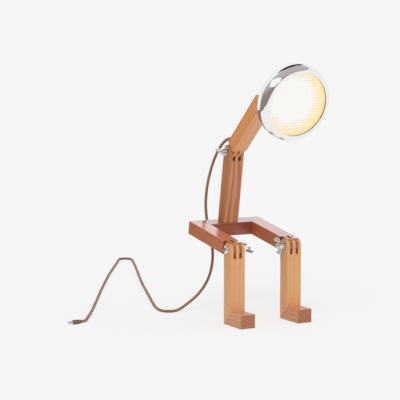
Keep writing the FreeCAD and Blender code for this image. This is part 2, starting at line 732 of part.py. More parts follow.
def smooth_path(points):
    """Straight runs joined by tangent arcs; each arc takes 0.45 of the shorter run beside it."""
    edges, bends, at = [], [], points[0]
    for before, corner, after in zip(points, points[1:], points[2:]):
        way_in, way_out = (corner - before).normalize(), (after - corner).normalize()
        half = way_in.getAngle(way_out) / 2
        if half < 1e-4:
            continue                # a point on a straight run
        reach = 0.45 * min((corner - before).Length, (after - corner).Length)
        start, finish = corner - way_in * reach, corner + way_out * reach
        radius = reach / math.tan(half)
        inwards = (way_out - way_in).normalize()
        middle = corner + inwards * (radius / math.cos(half) - radius)
        edges.append(Part.makeLine(at, start))
        edges.append(Part.Arc(start, middle, finish).toShape())
        bends.append((radius, math.degrees(2 * half)))
        at = finish
    edges.append(Part.makeLine(at, points[-1]))
    return Part.Wire(edges), bends


def tube(name, points, diameter):
    """A round tube along the path, kept as a plain shape; its volume is checked."""
    path, bends = smooth_path([Vector(*point) for point in points])
    radius = value(diameter) / 2
    first = (Vector(*points[1]) - Vector(*points[0])).normalize()
    section = Part.Wire(Part.makeCircle(radius, Vector(*points[0]), first))
    solid = path.makePipeShell([section], True, False, 2)
    wanted = math.pi * radius ** 2 * path.Length
    tightest = min(radius_at for radius_at, _ in bends)
    print(f"{name}: length {path.Length:.1f}, tightest bend {tightest:.1f}, "
          f"turns {min(turn for _, turn in bends):.1f} to {max(turn for _, turn in bends):.1f} degrees, "
          f"volume {solid.Volume / wanted:.4f} of section x length")
    if abs(solid.Volume / wanted - 1) > 0.01:
        raise RuntimeError(f"{name} is not a plain tube")
    thing = add("Part::Feature", name)
    thing.Shape = solid
    return thing, [radius_at for radius_at, _ in bends]


bush = new_body("cable_bush")
turn(bush, outline(bush, "profile", "XZ_Plane", [
    ("bush_bore", "-bush_seat"), ("bush_radius", "-bush_seat"), ("bush_radius", "0"),
    ("bush_tip_radius", "bush_stand"), ("bush_bore", "bush_stand")]))
bush_place = arm_frame * Placement(bush_mouth, Rotation(ALONG_Z, bush_way))
keep("cable_bush", bush, bush_place)
bush_tip = bush_place.multVec(Vector(0, 0, value("bush_stand")))

holder_back = value("reflector_depth + holder_length")
lead_points = [bush_place.multVec(Vector(0, 0, -value("bush_seat"))), arm_frame.multVec(lead_turn),
               arm_frame.multVec(stud_turn - ALONG_Z * 5.5), arm_frame.multVec(stud_turn)]
lead_points += [mount_frame.multVec(Vector(0, y, z)) for y, z in ((1.5, 0), (-21, 0), (-28, 0), (-36, 5))]
lead_points += [head_frame.multVec(Vector(0, y, z)) for y, z in ((holder_back + 9, -9),
                                                                 (holder_back + 7, -2), (holder_back, -2))]
lead, _ = tube("inner_lead", lead_points, "lead_diameter")
keep("inner_lead", lead, Placement())

# ---------------------------------------------------------------- set the lamp on its origin

def box_of(shape):
    return shape.optimalBoundingBox(False)


boxes = [box_of(thing.Shape) for thing in nodes.values()]
middle_x = (min(b.XMin for b in boxes) + max(b.XMax for b in boxes)) / 2
middle_y = (min(b.YMin for b in boxes) + max(b.YMax for b in boxes)) / 2
centring = shift(-middle_x, -middle_y)
for thing in nodes.values():
    thing.Placement = centring * thing.Placement
bush_tip = centring.multVec(bush_tip)
print(f"moved by {-middle_x:.4f}, {-middle_y:.4f}; bush tip {bush_tip}")

CORD = [
    (0, 84, 274.86), (0, 99, 274.86), (-3, 114.5, 264.5), (-8, 126, 246), (-12.5, 135, 221),
    (-16, 140.5, 194), (-18, 141.5, 166), (-17, 138, 138), (-12, 133.5, 112), (-9.5, 131, 86),
    (-13, 131, 61), (-22, 131, 41), (-37, 131.5, 23.5), (-56, 131.5, 11), (-72, 129, 3.2),
    (-84, 126, 2.25), (-94.8, 129.5, 2.25), (-99.3, 141, 2.25), (-96, 159, 2.25), (-88, 185, 2.25),
    (-42.5, 298, 2.25), (-11, 378, 2.25), (25, 463, 2.25), (63, 551, 2.25), (90, 616, 2.25),
    (105, 655, 2.25), (101.4, 664.5, 2.25), (92.8, 668.3, 2.25), (83.8, 665.5, 2.25),
    (67, 636, 2.25), (-1.5, 526.5, 2.25), (-50, 444.5, 2.25), (-103, 353, 2.25), (-155, 261, 2.25),
    (-187, 205, 2.25), (-209, 168, 2.25), (-224, 143.5, 2.25), (-233.5, 128.5, 2.4),
    (-240, 117.5, 2.8), (-247, 111.8, 3.3), (-253.5, 110.3, 3.5),
]
cord, cord_bends = tube("cord", CORD, "cord_diameter")
nodes["cord"] = cord
least = 2.2 * value("cord_diameter")   # a limp cord
tight = [(spot, round(radius, 1)) for spot, radius in enumerate(cord_bends, start=1) if radius < least]
print(f"cord bends in mm: {[round(radius) for radius in cord_bends]}; under {least} mm: {tight}")

# The plug: a moulded sleeve on the cord's end and the contact sleeve that goes into a socket.
cord_end = Vector(*CORD[-1])
plug_way = (cord_end - Vector(*CORD[-2])).normalize()
plug_place = Placement(cord_end - plug_way * 3, Rotation(ALONG_Z, plug_way))

plug = new_body("plug_body_moulding")
turn(plug, outline(plug, "profile", "XZ_Plane", [
    ("0", "0"), ("plug_diameter * 0.36", "0"), ("plug_diameter / 2", "plug_length * 0.45"),
    ("plug_diameter / 2", "plug_length"), ("0", "plug_length")]))
cord_hole = cylinder("plug_cord_hole", "cord_diameter / 2", "3", Vector(), ALONG_Z, False)
keep("plug_body", cut("plug_body", plug, cord_hole), plug_place)

pin_rod = cylinder("plug_pin_rod", "pin_diameter / 2", "pin_length", Vector(), ALONG_Z, False)
pin_hole = cylinder("plug_pin_hole", "pin_bore / 2", "pin_length", Vector(0, 0, 1.5), ALONG_Z, False)
keep("plug_pin", cut("plug_pin", pin_rod, pin_hole), plug_place * shift(z=value("plug_length")))


# ---------------------------------------------------------------- check and write

doc.recompute()
for thing in doc.Objects:
    if any(state in ("Invalid", "Error") for state in thing.State):
        raise RuntimeError(f"{thing.Name} is {thing.State}")
os.makedirs("parts", exist_ok=True)
for name, thing in nodes.items():
    shape = thing.Shape
    if shape.isNull() or not shape.isValid() or shape.Volume <= 0:
        raise RuntimeError(f"{name} is not a valid solid")
    shape.exportStep(f"parts/{name}.step")
    box = box_of(shape)
    print(f"{name:18} {len(shape.Solids)} solid(s) {shape.Volume:10.1f} mm3  "
          f"x {box.XMin:7.1f} {box.XMax:7.1f}  y {box.YMin:7.1f} {box.YMax:7.1f}  "
          f"z {box.ZMin:7.1f} {box.ZMax:7.1f}")
print(f"{len(nodes)} nodes")
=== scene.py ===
# %% [markdown]
# # A seated wooden figure lamp
# The lamp is a little figure made of square hardwood sticks, with M6 bolts and wing nuts for its
# knees and neck, and a bullet-shaped motorcycle headlamp for a head. Its solids already exist, so
# this notebook loads them as a fixed frame and gives them their looks: grain, chrome, lit glass,
# threads and the woven cord. Everything is in metres, and no piece leaves the place its solid has.

# %% Load the frame
import math

import bmesh
import bpy
from mathutils import Matrix, Vector


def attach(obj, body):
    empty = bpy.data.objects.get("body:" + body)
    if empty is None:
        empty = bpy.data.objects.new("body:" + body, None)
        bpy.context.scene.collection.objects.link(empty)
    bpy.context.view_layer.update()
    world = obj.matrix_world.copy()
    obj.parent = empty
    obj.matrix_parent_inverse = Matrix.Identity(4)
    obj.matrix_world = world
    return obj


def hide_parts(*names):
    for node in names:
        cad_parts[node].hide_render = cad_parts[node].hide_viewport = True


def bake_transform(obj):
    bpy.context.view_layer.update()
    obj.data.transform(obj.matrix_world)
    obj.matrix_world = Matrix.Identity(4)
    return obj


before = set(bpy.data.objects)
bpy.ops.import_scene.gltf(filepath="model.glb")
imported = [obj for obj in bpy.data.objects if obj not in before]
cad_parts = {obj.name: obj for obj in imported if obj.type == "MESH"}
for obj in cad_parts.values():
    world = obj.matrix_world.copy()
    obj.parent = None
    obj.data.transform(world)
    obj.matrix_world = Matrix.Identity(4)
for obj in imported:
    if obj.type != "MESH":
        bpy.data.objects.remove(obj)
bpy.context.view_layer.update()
MM = 0.001

# %% [markdown]
# ## Camera
# A product view from the figure's right-hand front, a little above its knees. A long lens far away
# keeps upright sticks parallel, which is how such a small object is usually shown. The camera is
# placed by an angle round the lamp and an angle above the floor, so both are easy to change.

# %% Place the camera
AROUND, ABOVE = math.radians(-28.78), math.radians(6.5)
CAMERA_DISTANCE = 2.5
SENSOR_WIDTH, FOCAL_LENGTH = 36, 150.53   # mm
AIM = Vector((-0.1033, 0.0040, 0.19183))

away = Vector((math.sin(AROUND) * math.cos(ABOVE), -math.cos(AROUND) * math.cos(ABOVE),
               math.sin(ABOVE)))
camera = bpy.data.objects.new("camera", bpy.data.cameras.new("camera"))
camera.data.sensor_width = SENSOR_WIDTH
camera.data.lens = FOCAL_LENGTH
camera.data.dof.use_dof = False
camera.location = AIM + away * CAMERA_DISTANCE
camera.rotation_mode = "QUATERNION"
camera.rotation_quaternion = away.to_track_quat("Z", "Y")
bpy.context.scene.collection.objects.link(camera)
bpy.context.scene.camera = camera
bpy.context.scene.view_settings.view_transform = "Standard"
print("camera at", tuple(round(c, 3) for c in camera.location))

# %% [markdown]
# ## Two helpers for node trees
# Geometry and shader trees are built the same way: add a node, set its options, fill or link its
# sockets. One small function does all of it. Colours are picked on screen as sRGB, while the
# renderer works with linear light, so a second function turns a hex value to linear numbers.

# %% Helpers
def linear(hex_code):
    """An sRGB hex colour as linear red, green, blue and alpha."""
    parts = [int(hex_code[i:i + 2], 16) / 255 for i in (0, 2, 4)]
    light = [c / 12.92 if c <= 0.04045 else ((c + 0.055) / 1.055) ** 2.4 for c in parts]
    return tuple(light) + (1.0,)


def add_node(tree, kind, fill=None, **options):
    """Adds a node. fill gives its sockets, by name or number, a value or another node's output."""
    node = tree.nodes.new(kind)
    for option, choice in options.items():
        setattr(node, option, choice)
    for socket, source in (fill or {}).items():
        if isinstance(source, bpy.types.NodeSocket):
            tree.links.new(source, node.inputs[socket])
        else:
            node.inputs[socket].default_value = source
    return node


def math_node(tree, operation, *values):
    return add_node(tree, "ShaderNodeMath", dict(enumerate(values)), operation=operation).outputs[0]


def product(tree, first, second):
    return math_node(tree, "MULTIPLY", first, second)


def total(tree, first, second):
    return math_node(tree, "ADD", first, second)


def new_material(name):
    """An empty material, and its tree with the Principled shader already wired to the output."""
    material = bpy.data.materials.new(name)
    material.use_nodes = True
    tree = material.node_tree
    tree.nodes.clear()
    shader = add_node(tree, "ShaderNodeBsdfPrincipled")
    add_node(tree, "ShaderNodeOutputMaterial", {"Surface": shader.outputs[0]})
    return material, tree, shader


def blend_colours(tree, share, first, second):
    """first where share is 0, second where it is 1."""
    mix = add_node(tree, "ShaderNodeMix", {0: share, 6: first, 7: second}, data_type="RGBA")
    return mix.outputs[2]


def tinted(tree, share, colour, tint):
    """The colour multiplied by a tint, fully where share is 1."""
    mix = add_node(tree, "ShaderNodeMix", {0: share, 6: colour, 7: tint}, data_type="RGBA",
                   blend_type="MULTIPLY")
    return mix.outputs[2]


def ramp(tree, value, low, high, start=0.0, end=1.0):
    """value between low and high, spread over start to end and held there outside."""
    return add_node(tree, "ShaderNodeMapRange",
                    {"Value": value, "From Min": low, "From Max": high, "To Min": start,
                     "To Max": end}, interpolation_type="SMOOTHSTEP").outputs[0]


def linked(mesh, name):
    """A new object in the scene for a mesh."""
    made = bpy.data.objects.new(name, mesh)
    bpy.context.scene.collection.objects.link(made)
    return made


def surface_point(tree, location=(0, 0, 0), rotation=(0, 0, 0)):
    """Object coordinates in millimetres, seen from a place and turn on the piece."""
    where = add_node(tree, "ShaderNodeTexCoord").outputs["Object"]
    placed = add_node(tree, "ShaderNodeMapping", {"Vector": where, "Location": location,
                                                  "Rotation": rotation}, vector_type="TEXTURE")
    return add_node(tree, "ShaderNodeVectorMath", {0: placed.outputs[0], "Scale": 1 / MM},
                    operation="SCALE").outputs[0]


def stretched_noise(tree, point, scale, detail=2.0, roughness=0.5, seed=0.0):
    """Smooth noise; scale gives the spots per millimetre along X, Y and Z."""
    squeezed = add_node(tree, "ShaderNodeVectorMath", {0: point, 1: scale}, operation="MULTIPLY")
    return add_node(tree, "ShaderNodeTexNoise",
                    {"Vector": squeezed.outputs[0], "W": seed, "Scale": 1.0, "Detail": detail,
                     "Roughness": roughness}, noise_dimensions="4D").outputs[0]


def bump(tree, height, distance, strength=1.0):
    """Turns a height from 0 to 1 into shading, distance millimetres deep."""
    return add_node(tree, "ShaderNodeBump", {"Height": height, "Distance": distance * MM,
                                             "Strength": strength}).outputs[0]


print("helpers ready")

# %% [markdown]
# ## The cord
# A textile-covered flex leaves the neck through a small bush, hangs down behind the seat to the
# table, runs back behind the lamp in a long loop and comes forward again to its connector. It is
# one fixed length of something limp, so it is drawn first, as one smooth NURBS spline. Its
# control points are the same ones that the solid cord has.

# %% Lay the cord
CORD_DIAMETER = 4.5 * MM
CORD_POINTS = [
    (0, 84, 274.86), (0, 99, 274.86), (-3, 114.5, 264.5), (-8, 126, 246), (-12.5, 135, 221),
    (-16, 140.5, 194), (-18, 141.5, 166), (-17, 138, 138), (-12, 133.5, 112), (-9.5, 131, 86),
    (-13, 131, 61), (-22, 131, 41), (-37, 131.5, 23.5), (-56, 131.5, 11), (-72, 129, 3.2),
    (-84, 126, 2.25), (-94.8, 129.5, 2.25), (-99.3, 141, 2.25), (-96, 159, 2.25), (-88, 185, 2.25),
    (-42.5, 298, 2.25), (-11, 378, 2.25), (25, 463, 2.25), (63, 551, 2.25), (90, 616, 2.25),
    (105, 655, 2.25), (101.4, 664.5, 2.25), (92.8, 668.3, 2.25), (83.8, 665.5, 2.25),
    (67, 636, 2.25), (-1.5, 526.5, 2.25), (-50, 444.5, 2.25), (-103, 353, 2.25), (-155, 261, 2.25),
    (-187, 205, 2.25), (-209, 168, 2.25), (-224, 143.5, 2.25), (-233.5, 128.5, 2.4),
    (-240, 117.5, 2.8), (-247, 111.8, 3.3), (-253.5, 110.3, 3.5)]

route = bpy.data.curves.new("cord_route", "CURVE")
route.dimensions = "3D"
route.resolution_u = 12
spline = route.splines.new("NURBS")
spline.points.add(len(CORD_POINTS) - 1)
for control, place in zip(spline.points, CORD_POINTS):
    control.co = (*(c * MM for c in place), 1)
spline.order_u = 3
spline.use_endpoint_u = True
route_object = bpy.data.objects.new("cord_route", route)
bpy.context.scene.collection.objects.link(route_object)


def baked(thing, name):
    """The evaluated shape of an object as a new plain mesh object; the original goes away."""
    bpy.context.view_layer.update()
    graph = bpy.context.evaluated_depsgraph_get()
    mesh = bpy.data.meshes.new_from_object(thing.evaluated_get(graph), depsgraph=graph)
    mesh.name = name
    data = thing.data
    bpy.data.objects.remove(thing)
    (bpy.data.curves if isinstance(data, bpy.types.Curve) else bpy.data.meshes).remove(data)
    return linked(mesh, name)


graph = bpy.context.evaluated_depsgraph_get()
line = bpy.data.meshes.new_from_object(route_object.evaluated_get(graph), depsgraph=graph)
bpy.data.meshes.remove(line)

# %% [markdown]
# ### The sleeve of the cord
# A round tube that follows a line is a job for Geometry Nodes: a circle is swept along the spline.
# The tree also stores, for every point, its angle round the cord and its distance along it, because
# the plaited yarn follows the cord wherever it bends, which plain coordinates can't do.

# %% Trees of Geometry Nodes
SOCKETS = {int: "NodeSocketInt", float: "NodeSocketFloat"}


def new_geometry_tree(name, **sizes):
    """A tree with a geometry, a material and named sizes as inputs; gives it and its inputs."""
    tree = bpy.data.node_groups.new(name, "GeometryNodeTree")
    tree.interface.new_socket("Geometry", in_out="INPUT", socket_type="NodeSocketGeometry")
    tree.interface.new_socket("Material", in_out="INPUT", socket_type="NodeSocketMaterial")
    for label, size in sizes.items():
        socket = tree.interface.new_socket(label, in_out="INPUT",
                                           socket_type=SOCKETS[type(size)])
        socket.default_value = size
    tree.interface.new_socket("Geometry", in_out="OUTPUT", socket_type="NodeSocketGeometry")
    return tree, add_node(tree, "NodeGroupInput").outputs


def end_tree(tree, geometry, given, smooth=True):
    """The last nodes of every tree: real geometry instead of instances, shading and the finish."""
    real = add_node(tree, "GeometryNodeRealizeInstances", {0: geometry}).outputs[0]
    shaded = add_node(tree, "GeometryNodeSetShadeSmooth", {0: real, 2: smooth}).outputs[0]
    finished = add_node(tree, "GeometryNodeSetMaterial",
                        {0: shaded, "Material": given["Material"]})
    add_node(tree, "NodeGroupOutput", {0: finished.outputs[0]})


def grow(tree, name, material, start=None, **sizes):
    """Runs a tree on an object, or on an empty mesh, and bakes the result to a plain mesh."""
    if start is None:
        start = linked(bpy.data.meshes.new(name + "_start"), name + "_start")
    modifier = start.modifiers.new(tree.name, "NODES")
    modifier.node_group = tree
    chosen = {"Material": material, **sizes}
    for item in tree.interface.items_tree:
        if item.in_out == "INPUT" and item.name in chosen:
            modifier[item.identifier] = chosen[item.name]
    made = baked(start, name)
    print(f"{name}: {len(made.data.polygons)} faces")
    return made


# %% Sweep the sleeve
TURN = 2 * math.pi
sleeve_tree, given = new_geometry_tree("textile_sleeve", Diameter=0.0045, Sides=12)
along = add_node(sleeve_tree, "GeometryNodeSplineParameter")
line = add_node(sleeve_tree, "GeometryNodeCaptureAttribute", {0: given["Geometry"]})
line.capture_items.new("FLOAT", "along")
sleeve_tree.links.new(along.outputs["Length"], line.inputs[1])
ring = add_node(sleeve_tree, "GeometryNodeCurvePrimitiveCircle",
                {"Resolution": given["Sides"],
                 "Radius": product(sleeve_tree, given["Diameter"], 0.5)})
around = add_node(sleeve_tree, "GeometryNodeCaptureAttribute", {0: ring.outputs[0]})
around.capture_items.new("FLOAT", "around")
sleeve_tree.links.new(along.outputs["Factor"], around.inputs[1])
swept = add_node(sleeve_tree, "GeometryNodeCurveToMesh",
                 {"Curve": line.outputs[0], "Profile Curve": around.outputs[0],
                  "Fill Caps": True})
angle = product(sleeve_tree, around.outputs[1], TURN)
place_on_cord = add_node(sleeve_tree, "ShaderNodeCombineXYZ",
                         {"X": math_node(sleeve_tree, "COSINE", angle),
                          "Y": math_node(sleeve_tree, "SINE", angle), "Z": line.outputs[1]})
stored = add_node(sleeve_tree, "GeometryNodeStoreNamedAttribute",
                  {"Geometry": swept.outputs[0], "Name": "sleeve",
                   "Value": place_on_cord.outputs[0]}, data_type="FLOAT_VECTOR", domain="POINT")
end_tree(sleeve_tree, stored.outputs[0], given)

# %% [markdown]
# ### Plaited cotton
# The sleeve of such a flex is plaited from cotton yarns that run round it both ways, over and under
# each other. Two sets of slanting waves give that plait, one for each way round. Real yarns are
# 0.4 mm wide; they are drawn about twice as coarse here, so that they show from a distance.

# %% Cotton sleeve
# Dull brown yarns with painted shade in the gaps between them, and a pale bloom of loose fibres.
YARNS_ROUND, PLAIT_RISE = 8, 11 * MM
cotton, tree, shader = new_material("plaited_cotton")
sleeve_place = add_node(tree, "ShaderNodeAttribute", attribute_name="sleeve").outputs["Vector"]
parts = add_node(tree, "ShaderNodeSeparateXYZ", {0: sleeve_place}).outputs
round_angle = math_node(tree, "ARCTAN2", parts[1], parts[0])
round_turns = product(tree, round_angle, YARNS_ROUND)
climb = product(tree, parts[2], TURN * YARNS_ROUND / PLAIT_RISE)
one_way = math_node(tree, "SINE", total(tree, round_turns, climb))
other_way = math_node(tree, "SINE", math_node(tree, "SUBTRACT", round_turns, climb))
yarn = ramp(tree, math_node(tree, "MAXIMUM", one_way, other_way), -0.4, 1.0)
crossing = ramp(tree, math_node(tree, "SUBTRACT", one_way, other_way), -0.3, 0.3)
fuzz = stretched_noise(tree, surface_point(tree), (0.5, 0.5, 0.5), detail=4)
patch = stretched_noise(tree, surface_point(tree), (0.035, 0.035, 0.035), detail=1, seed=3.0)
yarn_colour = blend_colours(tree, crossing, linear("B88A70"), linear("A6775E"))
yarn_colour = blend_colours(tree, ramp(tree, patch, 0.35, 0.65), yarn_colour, linear("9E725A"))
# 6F4C3A is painted shade in the gaps between the yarns.
sleeve_colour = blend_colours(tree, yarn, linear("6F4C3A"), yarn_colour)
bloom = ramp(tree, fuzz, 0.55, 0.9)
sleeve_colour = blend_colours(tree, bloom, sleeve_colour, linear("CBA890"))
tree.links.new(sleeve_colour, shader.inputs["Base Color"])
tree.links.new(ramp(tree, fuzz, 0.0, 1.0, 0.75, 0.95), shader.inputs["Roughness"])
relief = total(tree, yarn, product(tree, fuzz, 0.4))
tree.links.new(bump(tree, relief, 0.35), shader.inputs["Normal"])
shader.inputs["Sheen Weight"].default_value = 0.25
shader.inputs["Sheen Roughness"].default_value = 0.5
shader.inputs["Specular IOR Level"].default_value = 0.25

cord = grow(sleeve_tree, "textile_cord", cotton, route_object, Diameter=CORD_DIAMETER)
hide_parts("cord")
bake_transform(cord)

# %% [markdown]
# ## Hardwood sticks
# Every stick is a straight piece of an even, reddish-brown hardwood under a thin satin lacquer.
# Wood isn't a picture glued on: growth rings fill the whole stick, so a side shows long stripes
# and a sawn end shows arcs. One node group therefore works in three dimensions. It is used once
# for each stick, turned along that stick, with the heart of the tree at its own place and its own
# two tones.

# %% Grain in three dimensions
grain = bpy.data.node_groups.new("hardwood_grain", "ShaderNodeTree")
GRAIN_SOCKETS = {
    "INPUT": {"Point": "Vector", "Facing": "Vector", "Early Wood": "Color", "Late Wood": "Color",
              "Ring Width": "Float", "Seed": "Float", "Golden Sides": "Float"},
    "OUTPUT": {"Colour": "Color", "Roughness": "Float", "Height": "Float"},
}
for way, labels in GRAIN_SOCKETS.items():
    for label, kind in labels.items():
        grain.interface.new_socket(label, in_out=way, socket_type="NodeSocket" + kind)
given = add_node(grain, "NodeGroupInput").outputs
point, seed = given["Point"], given["Seed"]
# The rings wander slowly along the stick, by a few millimetres over some centimetres.
wander = stretched_noise(grain, point, (0.03, 0.03, 0.008), detail=2, seed=seed)
flat = add_node(grain, "ShaderNodeVectorMath", {0: point, 1: (1, 1, 0)}, operation="MULTIPLY")
reach = add_node(grain, "ShaderNodeVectorMath", {0: flat.outputs[0]}, operation="LENGTH")
radius = total(grain, reach.outputs[1], product(grain, wander, 14.0))
ring = math_node(grain, "FRACT", math_node(grain, "DIVIDE", radius, given["Ring Width"]))
# Within a ring the tone deepens slowly and breaks off where the next year's growth starts.
late = product(grain, ramp(grain, ring, 0.15, 0.88), ramp(grain, ring, 0.9, 1.0, 1.0, 0.0))
# Fibres are hair-thin and centimetres long; streaks are bands of them with a deeper colour.
fibre = stretched_noise(grain, point, (1.6, 1.6, 0.035), detail=3, seed=seed)
streak = stretched_noise(grain, point, (0.28, 0.28, 0.006), detail=2, seed=seed)
# Pores are cut-open vessels, 0.1 mm wide in nature and drawn at 0.3 mm.
pore = ramp(grain, stretched_noise(grain, point, (3.0, 3.0, 0.12), detail=1, seed=seed), 0.64, 0.72)
streaks = product(grain, ramp(grain, streak, 0.35, 0.7), 0.45)
share = total(grain, product(grain, late, 0.55), streaks)
share = total(grain, share, product(grain, math_node(grain, "SUBTRACT", fibre, 0.5), 0.9))
colour = blend_colours(grain, share, given["Early Wood"], given["Late Wood"])
colour = tinted(grain, product(grain, pore, 0.5), colour, linear("6B3F22"))
height = math_node(grain, "SUBTRACT", product(grain, fibre, 0.3), pore)
# A sawn end drinks more lacquer, so it is darker and redder; a flat-sawn side is more golden.
facing = add_node(grain, "ShaderNodeSeparateXYZ", {0: given["Facing"]}).outputs
ending = ramp(grain, math_node(grain, "ABSOLUTE", facing[2]), 0.6, 0.9)
siding = ramp(grain, math_node(grain, "ABSOLUTE", facing[0]), 0.6, 0.9)
colour = tinted(grain, ending, colour, linear("D2C4C4"))
colour = tinted(grain, product(grain, siding, given["Golden Sides"]), colour, linear("EBD080"))
add_node(grain, "NodeGroupOutput",
         {"Colour": colour, "Height": height,
          "Roughness": ramp(grain, fibre, 0.3, 0.8, 0.36, 0.50)})

# %% A turn and a pair of tones for each stick
SEAT_SLOPE, ARM_LEAN = math.radians(9.5), math.radians(48)
UPRIGHT, LENGTHWAYS, ACROSS = (0, 0, 0), (math.pi / 2, 0, 0), (0, math.pi / 2, 0)
THIGH_WAY = (math.pi / 2 + SEAT_SLOPE, 0, 0)
# stick: (turn of its length from upright, place of the tree's heart in mm, early wood, late wood,
#         ring width in mm, how golden its sides are, how glossy its lacquer is)
STICKS = {
    "shin_left": (UPRIGHT, (78, 22, 60), "D79F6B", "CD9461", 5.0, 0.0, 0.1),
    "shin_right": (UPRIGHT, (-20, -48, 60), "D79F6B", "CC9360", 5.5, 0.0, 0.1),
    "foot_left": (LENGTHWAYS, (70, -20, 45), "CC9068", "B87A54", 5.0, 0.0, 0.1),
    "foot_right": (LENGTHWAYS, (-30, -20, 50), "CF956C", "BC7F57", 5.0, 0.0, 0.1),
    # The thighs and the hip bar are darker and redder than the other sticks: partly their wood's
    # own tone, partly painted shade of the seat.
    "thigh_left": (THIGH_WAY, (85, 50, 160), "AE5F30", "A2562C", 5.0, 0.0, 1.0),
    "thigh_right": (THIGH_WAY, (-95, 50, 165), "B8693E", "AC5E37", 5.5, 0.0, 1.0),
    "hip_bar": (ACROSS, (0, 130, 100), "93482A", "823C22", 5.0, 0.0, 1.0),
    "torso_post": ((SEAT_SLOPE, 0, 0), (16, 40, 190), "D08D62", "97583A", 3.6, 0.5, 0.2),
    "neck_piece": ((ARM_LEAN, 0, 0), (-38, 60, 300), "EBAC7C", "DA9462", 6.0, 1.0, 0.2),
}
# Planed hardwood under satin lacquer: warm and only half dull. A clear coat puts a soft sheen over
# the fibres, full on the thighs and the hip bar and faint on the other sticks.
for number, (stick, look) in enumerate(STICKS.items()):
    way, heart, early_tone, late_tone, width, golden, gloss = look
    wood, tree, shader = new_material("satin_hardwood_" + stick)
    place = surface_point(tree, tuple(c * MM for c in heart), way)
    figure = add_node(tree, "ShaderNodeGroup", node_tree=grain)
    tree.links.new(place, figure.inputs["Point"])
    outwards = add_node(tree, "ShaderNodeTexCoord").outputs["Normal"]
    outwards = add_node(tree, "ShaderNodeMapping", {"Vector": outwards, "Rotation": way},
                        vector_type="TEXTURE")
    tree.links.new(outwards.outputs[0], figure.inputs["Facing"])
    amounts = {"Early Wood": linear(early_tone), "Late Wood": linear(late_tone),
               "Ring Width": width, "Seed": 7.0 * number, "Golden Sides": golden}
    for label, amount in amounts.items():
        figure.inputs[label].default_value = amount
    tree.links.new(figure.outputs["Colour"], shader.inputs["Base Color"])
    tree.links.new(figure.outputs["Roughness"], shader.inputs["Roughness"])
    tree.links.new(bump(tree, figure.outputs["Height"], 0.12, 0.5), shader.inputs["Normal"])
    shader.inputs["IOR"].default_value = 1.4
    shader.inputs["Coat Weight"].default_value = gloss
    shader.inputs["Coat Roughness"].default_value = 0.2
    shader.inputs["Coat IOR"].default_value = 1.6
    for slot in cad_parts[stick].material_slots:
        slot.material = wood
print("sticks finished:", len(STICKS))

# %% [markdown]
# ## Metals
# The head is pressed steel with a polished chromium plating: a mirror that hides nothing, so its
# looks come from what stands round it. The bolts, washers and nuts are zinc-plated steel, which is
# brighter and softer. The fine turning marks of each are drawn as a change of roughness.

# %% Metal finishes
def metal_finish(name, tint, shade, smooth, rough, mark_scale, depth):
    """A plated metal with faint marks; mark_scale is spots per millimetre along X, Y and Z."""
    metal, tree, shader = new_material(name)
    place = surface_point(tree)
    marks = stretched_noise(tree, place, mark_scale, detail=3)
    cloud = stretched_noise(tree, place, (0.05, 0.05, 0.05), detail=2, seed=5.0)
    tone = blend_colours(tree, cloud, linear(tint), linear(shade))
    tree.links.new(tone, shader.inputs["Base Color"])
    tree.links.new(ramp(tree, marks, 0.25, 0.8, smooth, rough), shader.inputs["Roughness"])
    tree.links.new(bump(tree, marks, depth, 0.4), shader.inputs["Normal"])
    shader.inputs["Metallic"].default_value = 1.0
    return metal


# Electroplated and polished: a clear, faintly blue mirror with hardly a mark.
chrome = metal_finish("polished_chromium", "F9F9FB", "F2F2F5", 0.03, 0.06, (0.08, 0.08, 0.08),
                      0.004)
# Zinc-plated steel: pale, with highlights softer than the chromium's.
zinc = metal_finish("bright_zinc_plate", "F2F2F0", "E2E2E0", 0.14, 0.26, (1.5, 1.5, 1.5), 0.02)
# Nickel plate: about as soft as the zinc, but darker and slightly yellow.
nickel = metal_finish("nickel_plate", "DAD6CC", "C6C1B6", 0.15, 0.28, (2.0, 2.0, 0.5), 0.01)
# Brass, turned: yellow, with fine bands that lie one way and a softer shine than the zinc.
brass = metal_finish("turned_brass", "D9B36A", "BF9650", 0.20, 0.34, (0.4, 4.0, 0.4), 0.02)
# Brightened aluminium sheet: nearly a mirror, a little milky.
mirror = metal_finish("brightened_aluminium", "F0F0EE", "E2E2E0", 0.06, 0.14, (0.6, 0.6, 0.6),
                      0.01)


def plastic_finish(name, tint, shade, smooth, rough, grit, depth):
    """A moulded plastic, rubber or ceramic with a fine grit; grit is its size in millimetres."""
    plastic, tree, shader = new_material(name)
    place = surface_point(tree)
    grains = stretched_noise(tree, place, (1 / grit,) * 3, detail=2)
    cloud = stretched_noise(tree, place, (0.08, 0.08, 0.08), detail=2, seed=2.0)
    tone = blend_colours(tree, cloud, linear(tint), linear(shade))
    tree.links.new(tone, shader.inputs["Base Color"])
    tree.links.new(ramp(tree, grains, 0.3, 0.75, smooth, rough), shader.inputs["Roughness"])
    tree.links.new(bump(tree, grains, depth, 0.6), shader.inputs["Normal"])
    return plastic


# Moulded rubber: dark grey and matt.
rubber = plastic_finish("moulded_rubber", "3A3A3B", "2A2A2B", 0.55, 0.75, 0.6, 0.03)
# Moulded nylon: nearly black, with a little more shine than the rubber.
nylon = plastic_finish("black_nylon", "242322", "33302E", 0.38, 0.55, 0.5, 0.02)
# Fired ceramic without a glaze: chalky, cream white.
ceramic = plastic_finish("unglazed_steatite", "E9E3D6", "DAD2C2", 0.60, 0.80, 0.7, 0.03)
# Soft vinyl, extruded or moulded: even brown with a blurred shine.
vinyl = plastic_finish("brown_vinyl", "7A5A48", "6B4D3D", 0.40, 0.60, 0.5, 0.02)
# Frosted cap over the light source: smooth, milky and warm.
frosted = plastic_finish("frosted_lamp_cap", "F6EFDF", "EBE0C8", 0.35, 0.50, 1.0, 0.01)
# Cut ends of beech dowels: brown, matt and a little rough.
dowel = plastic_finish("beech_dowel_end", "A87448", "8A5A34", 0.45, 0.60, 0.5, 0.03)

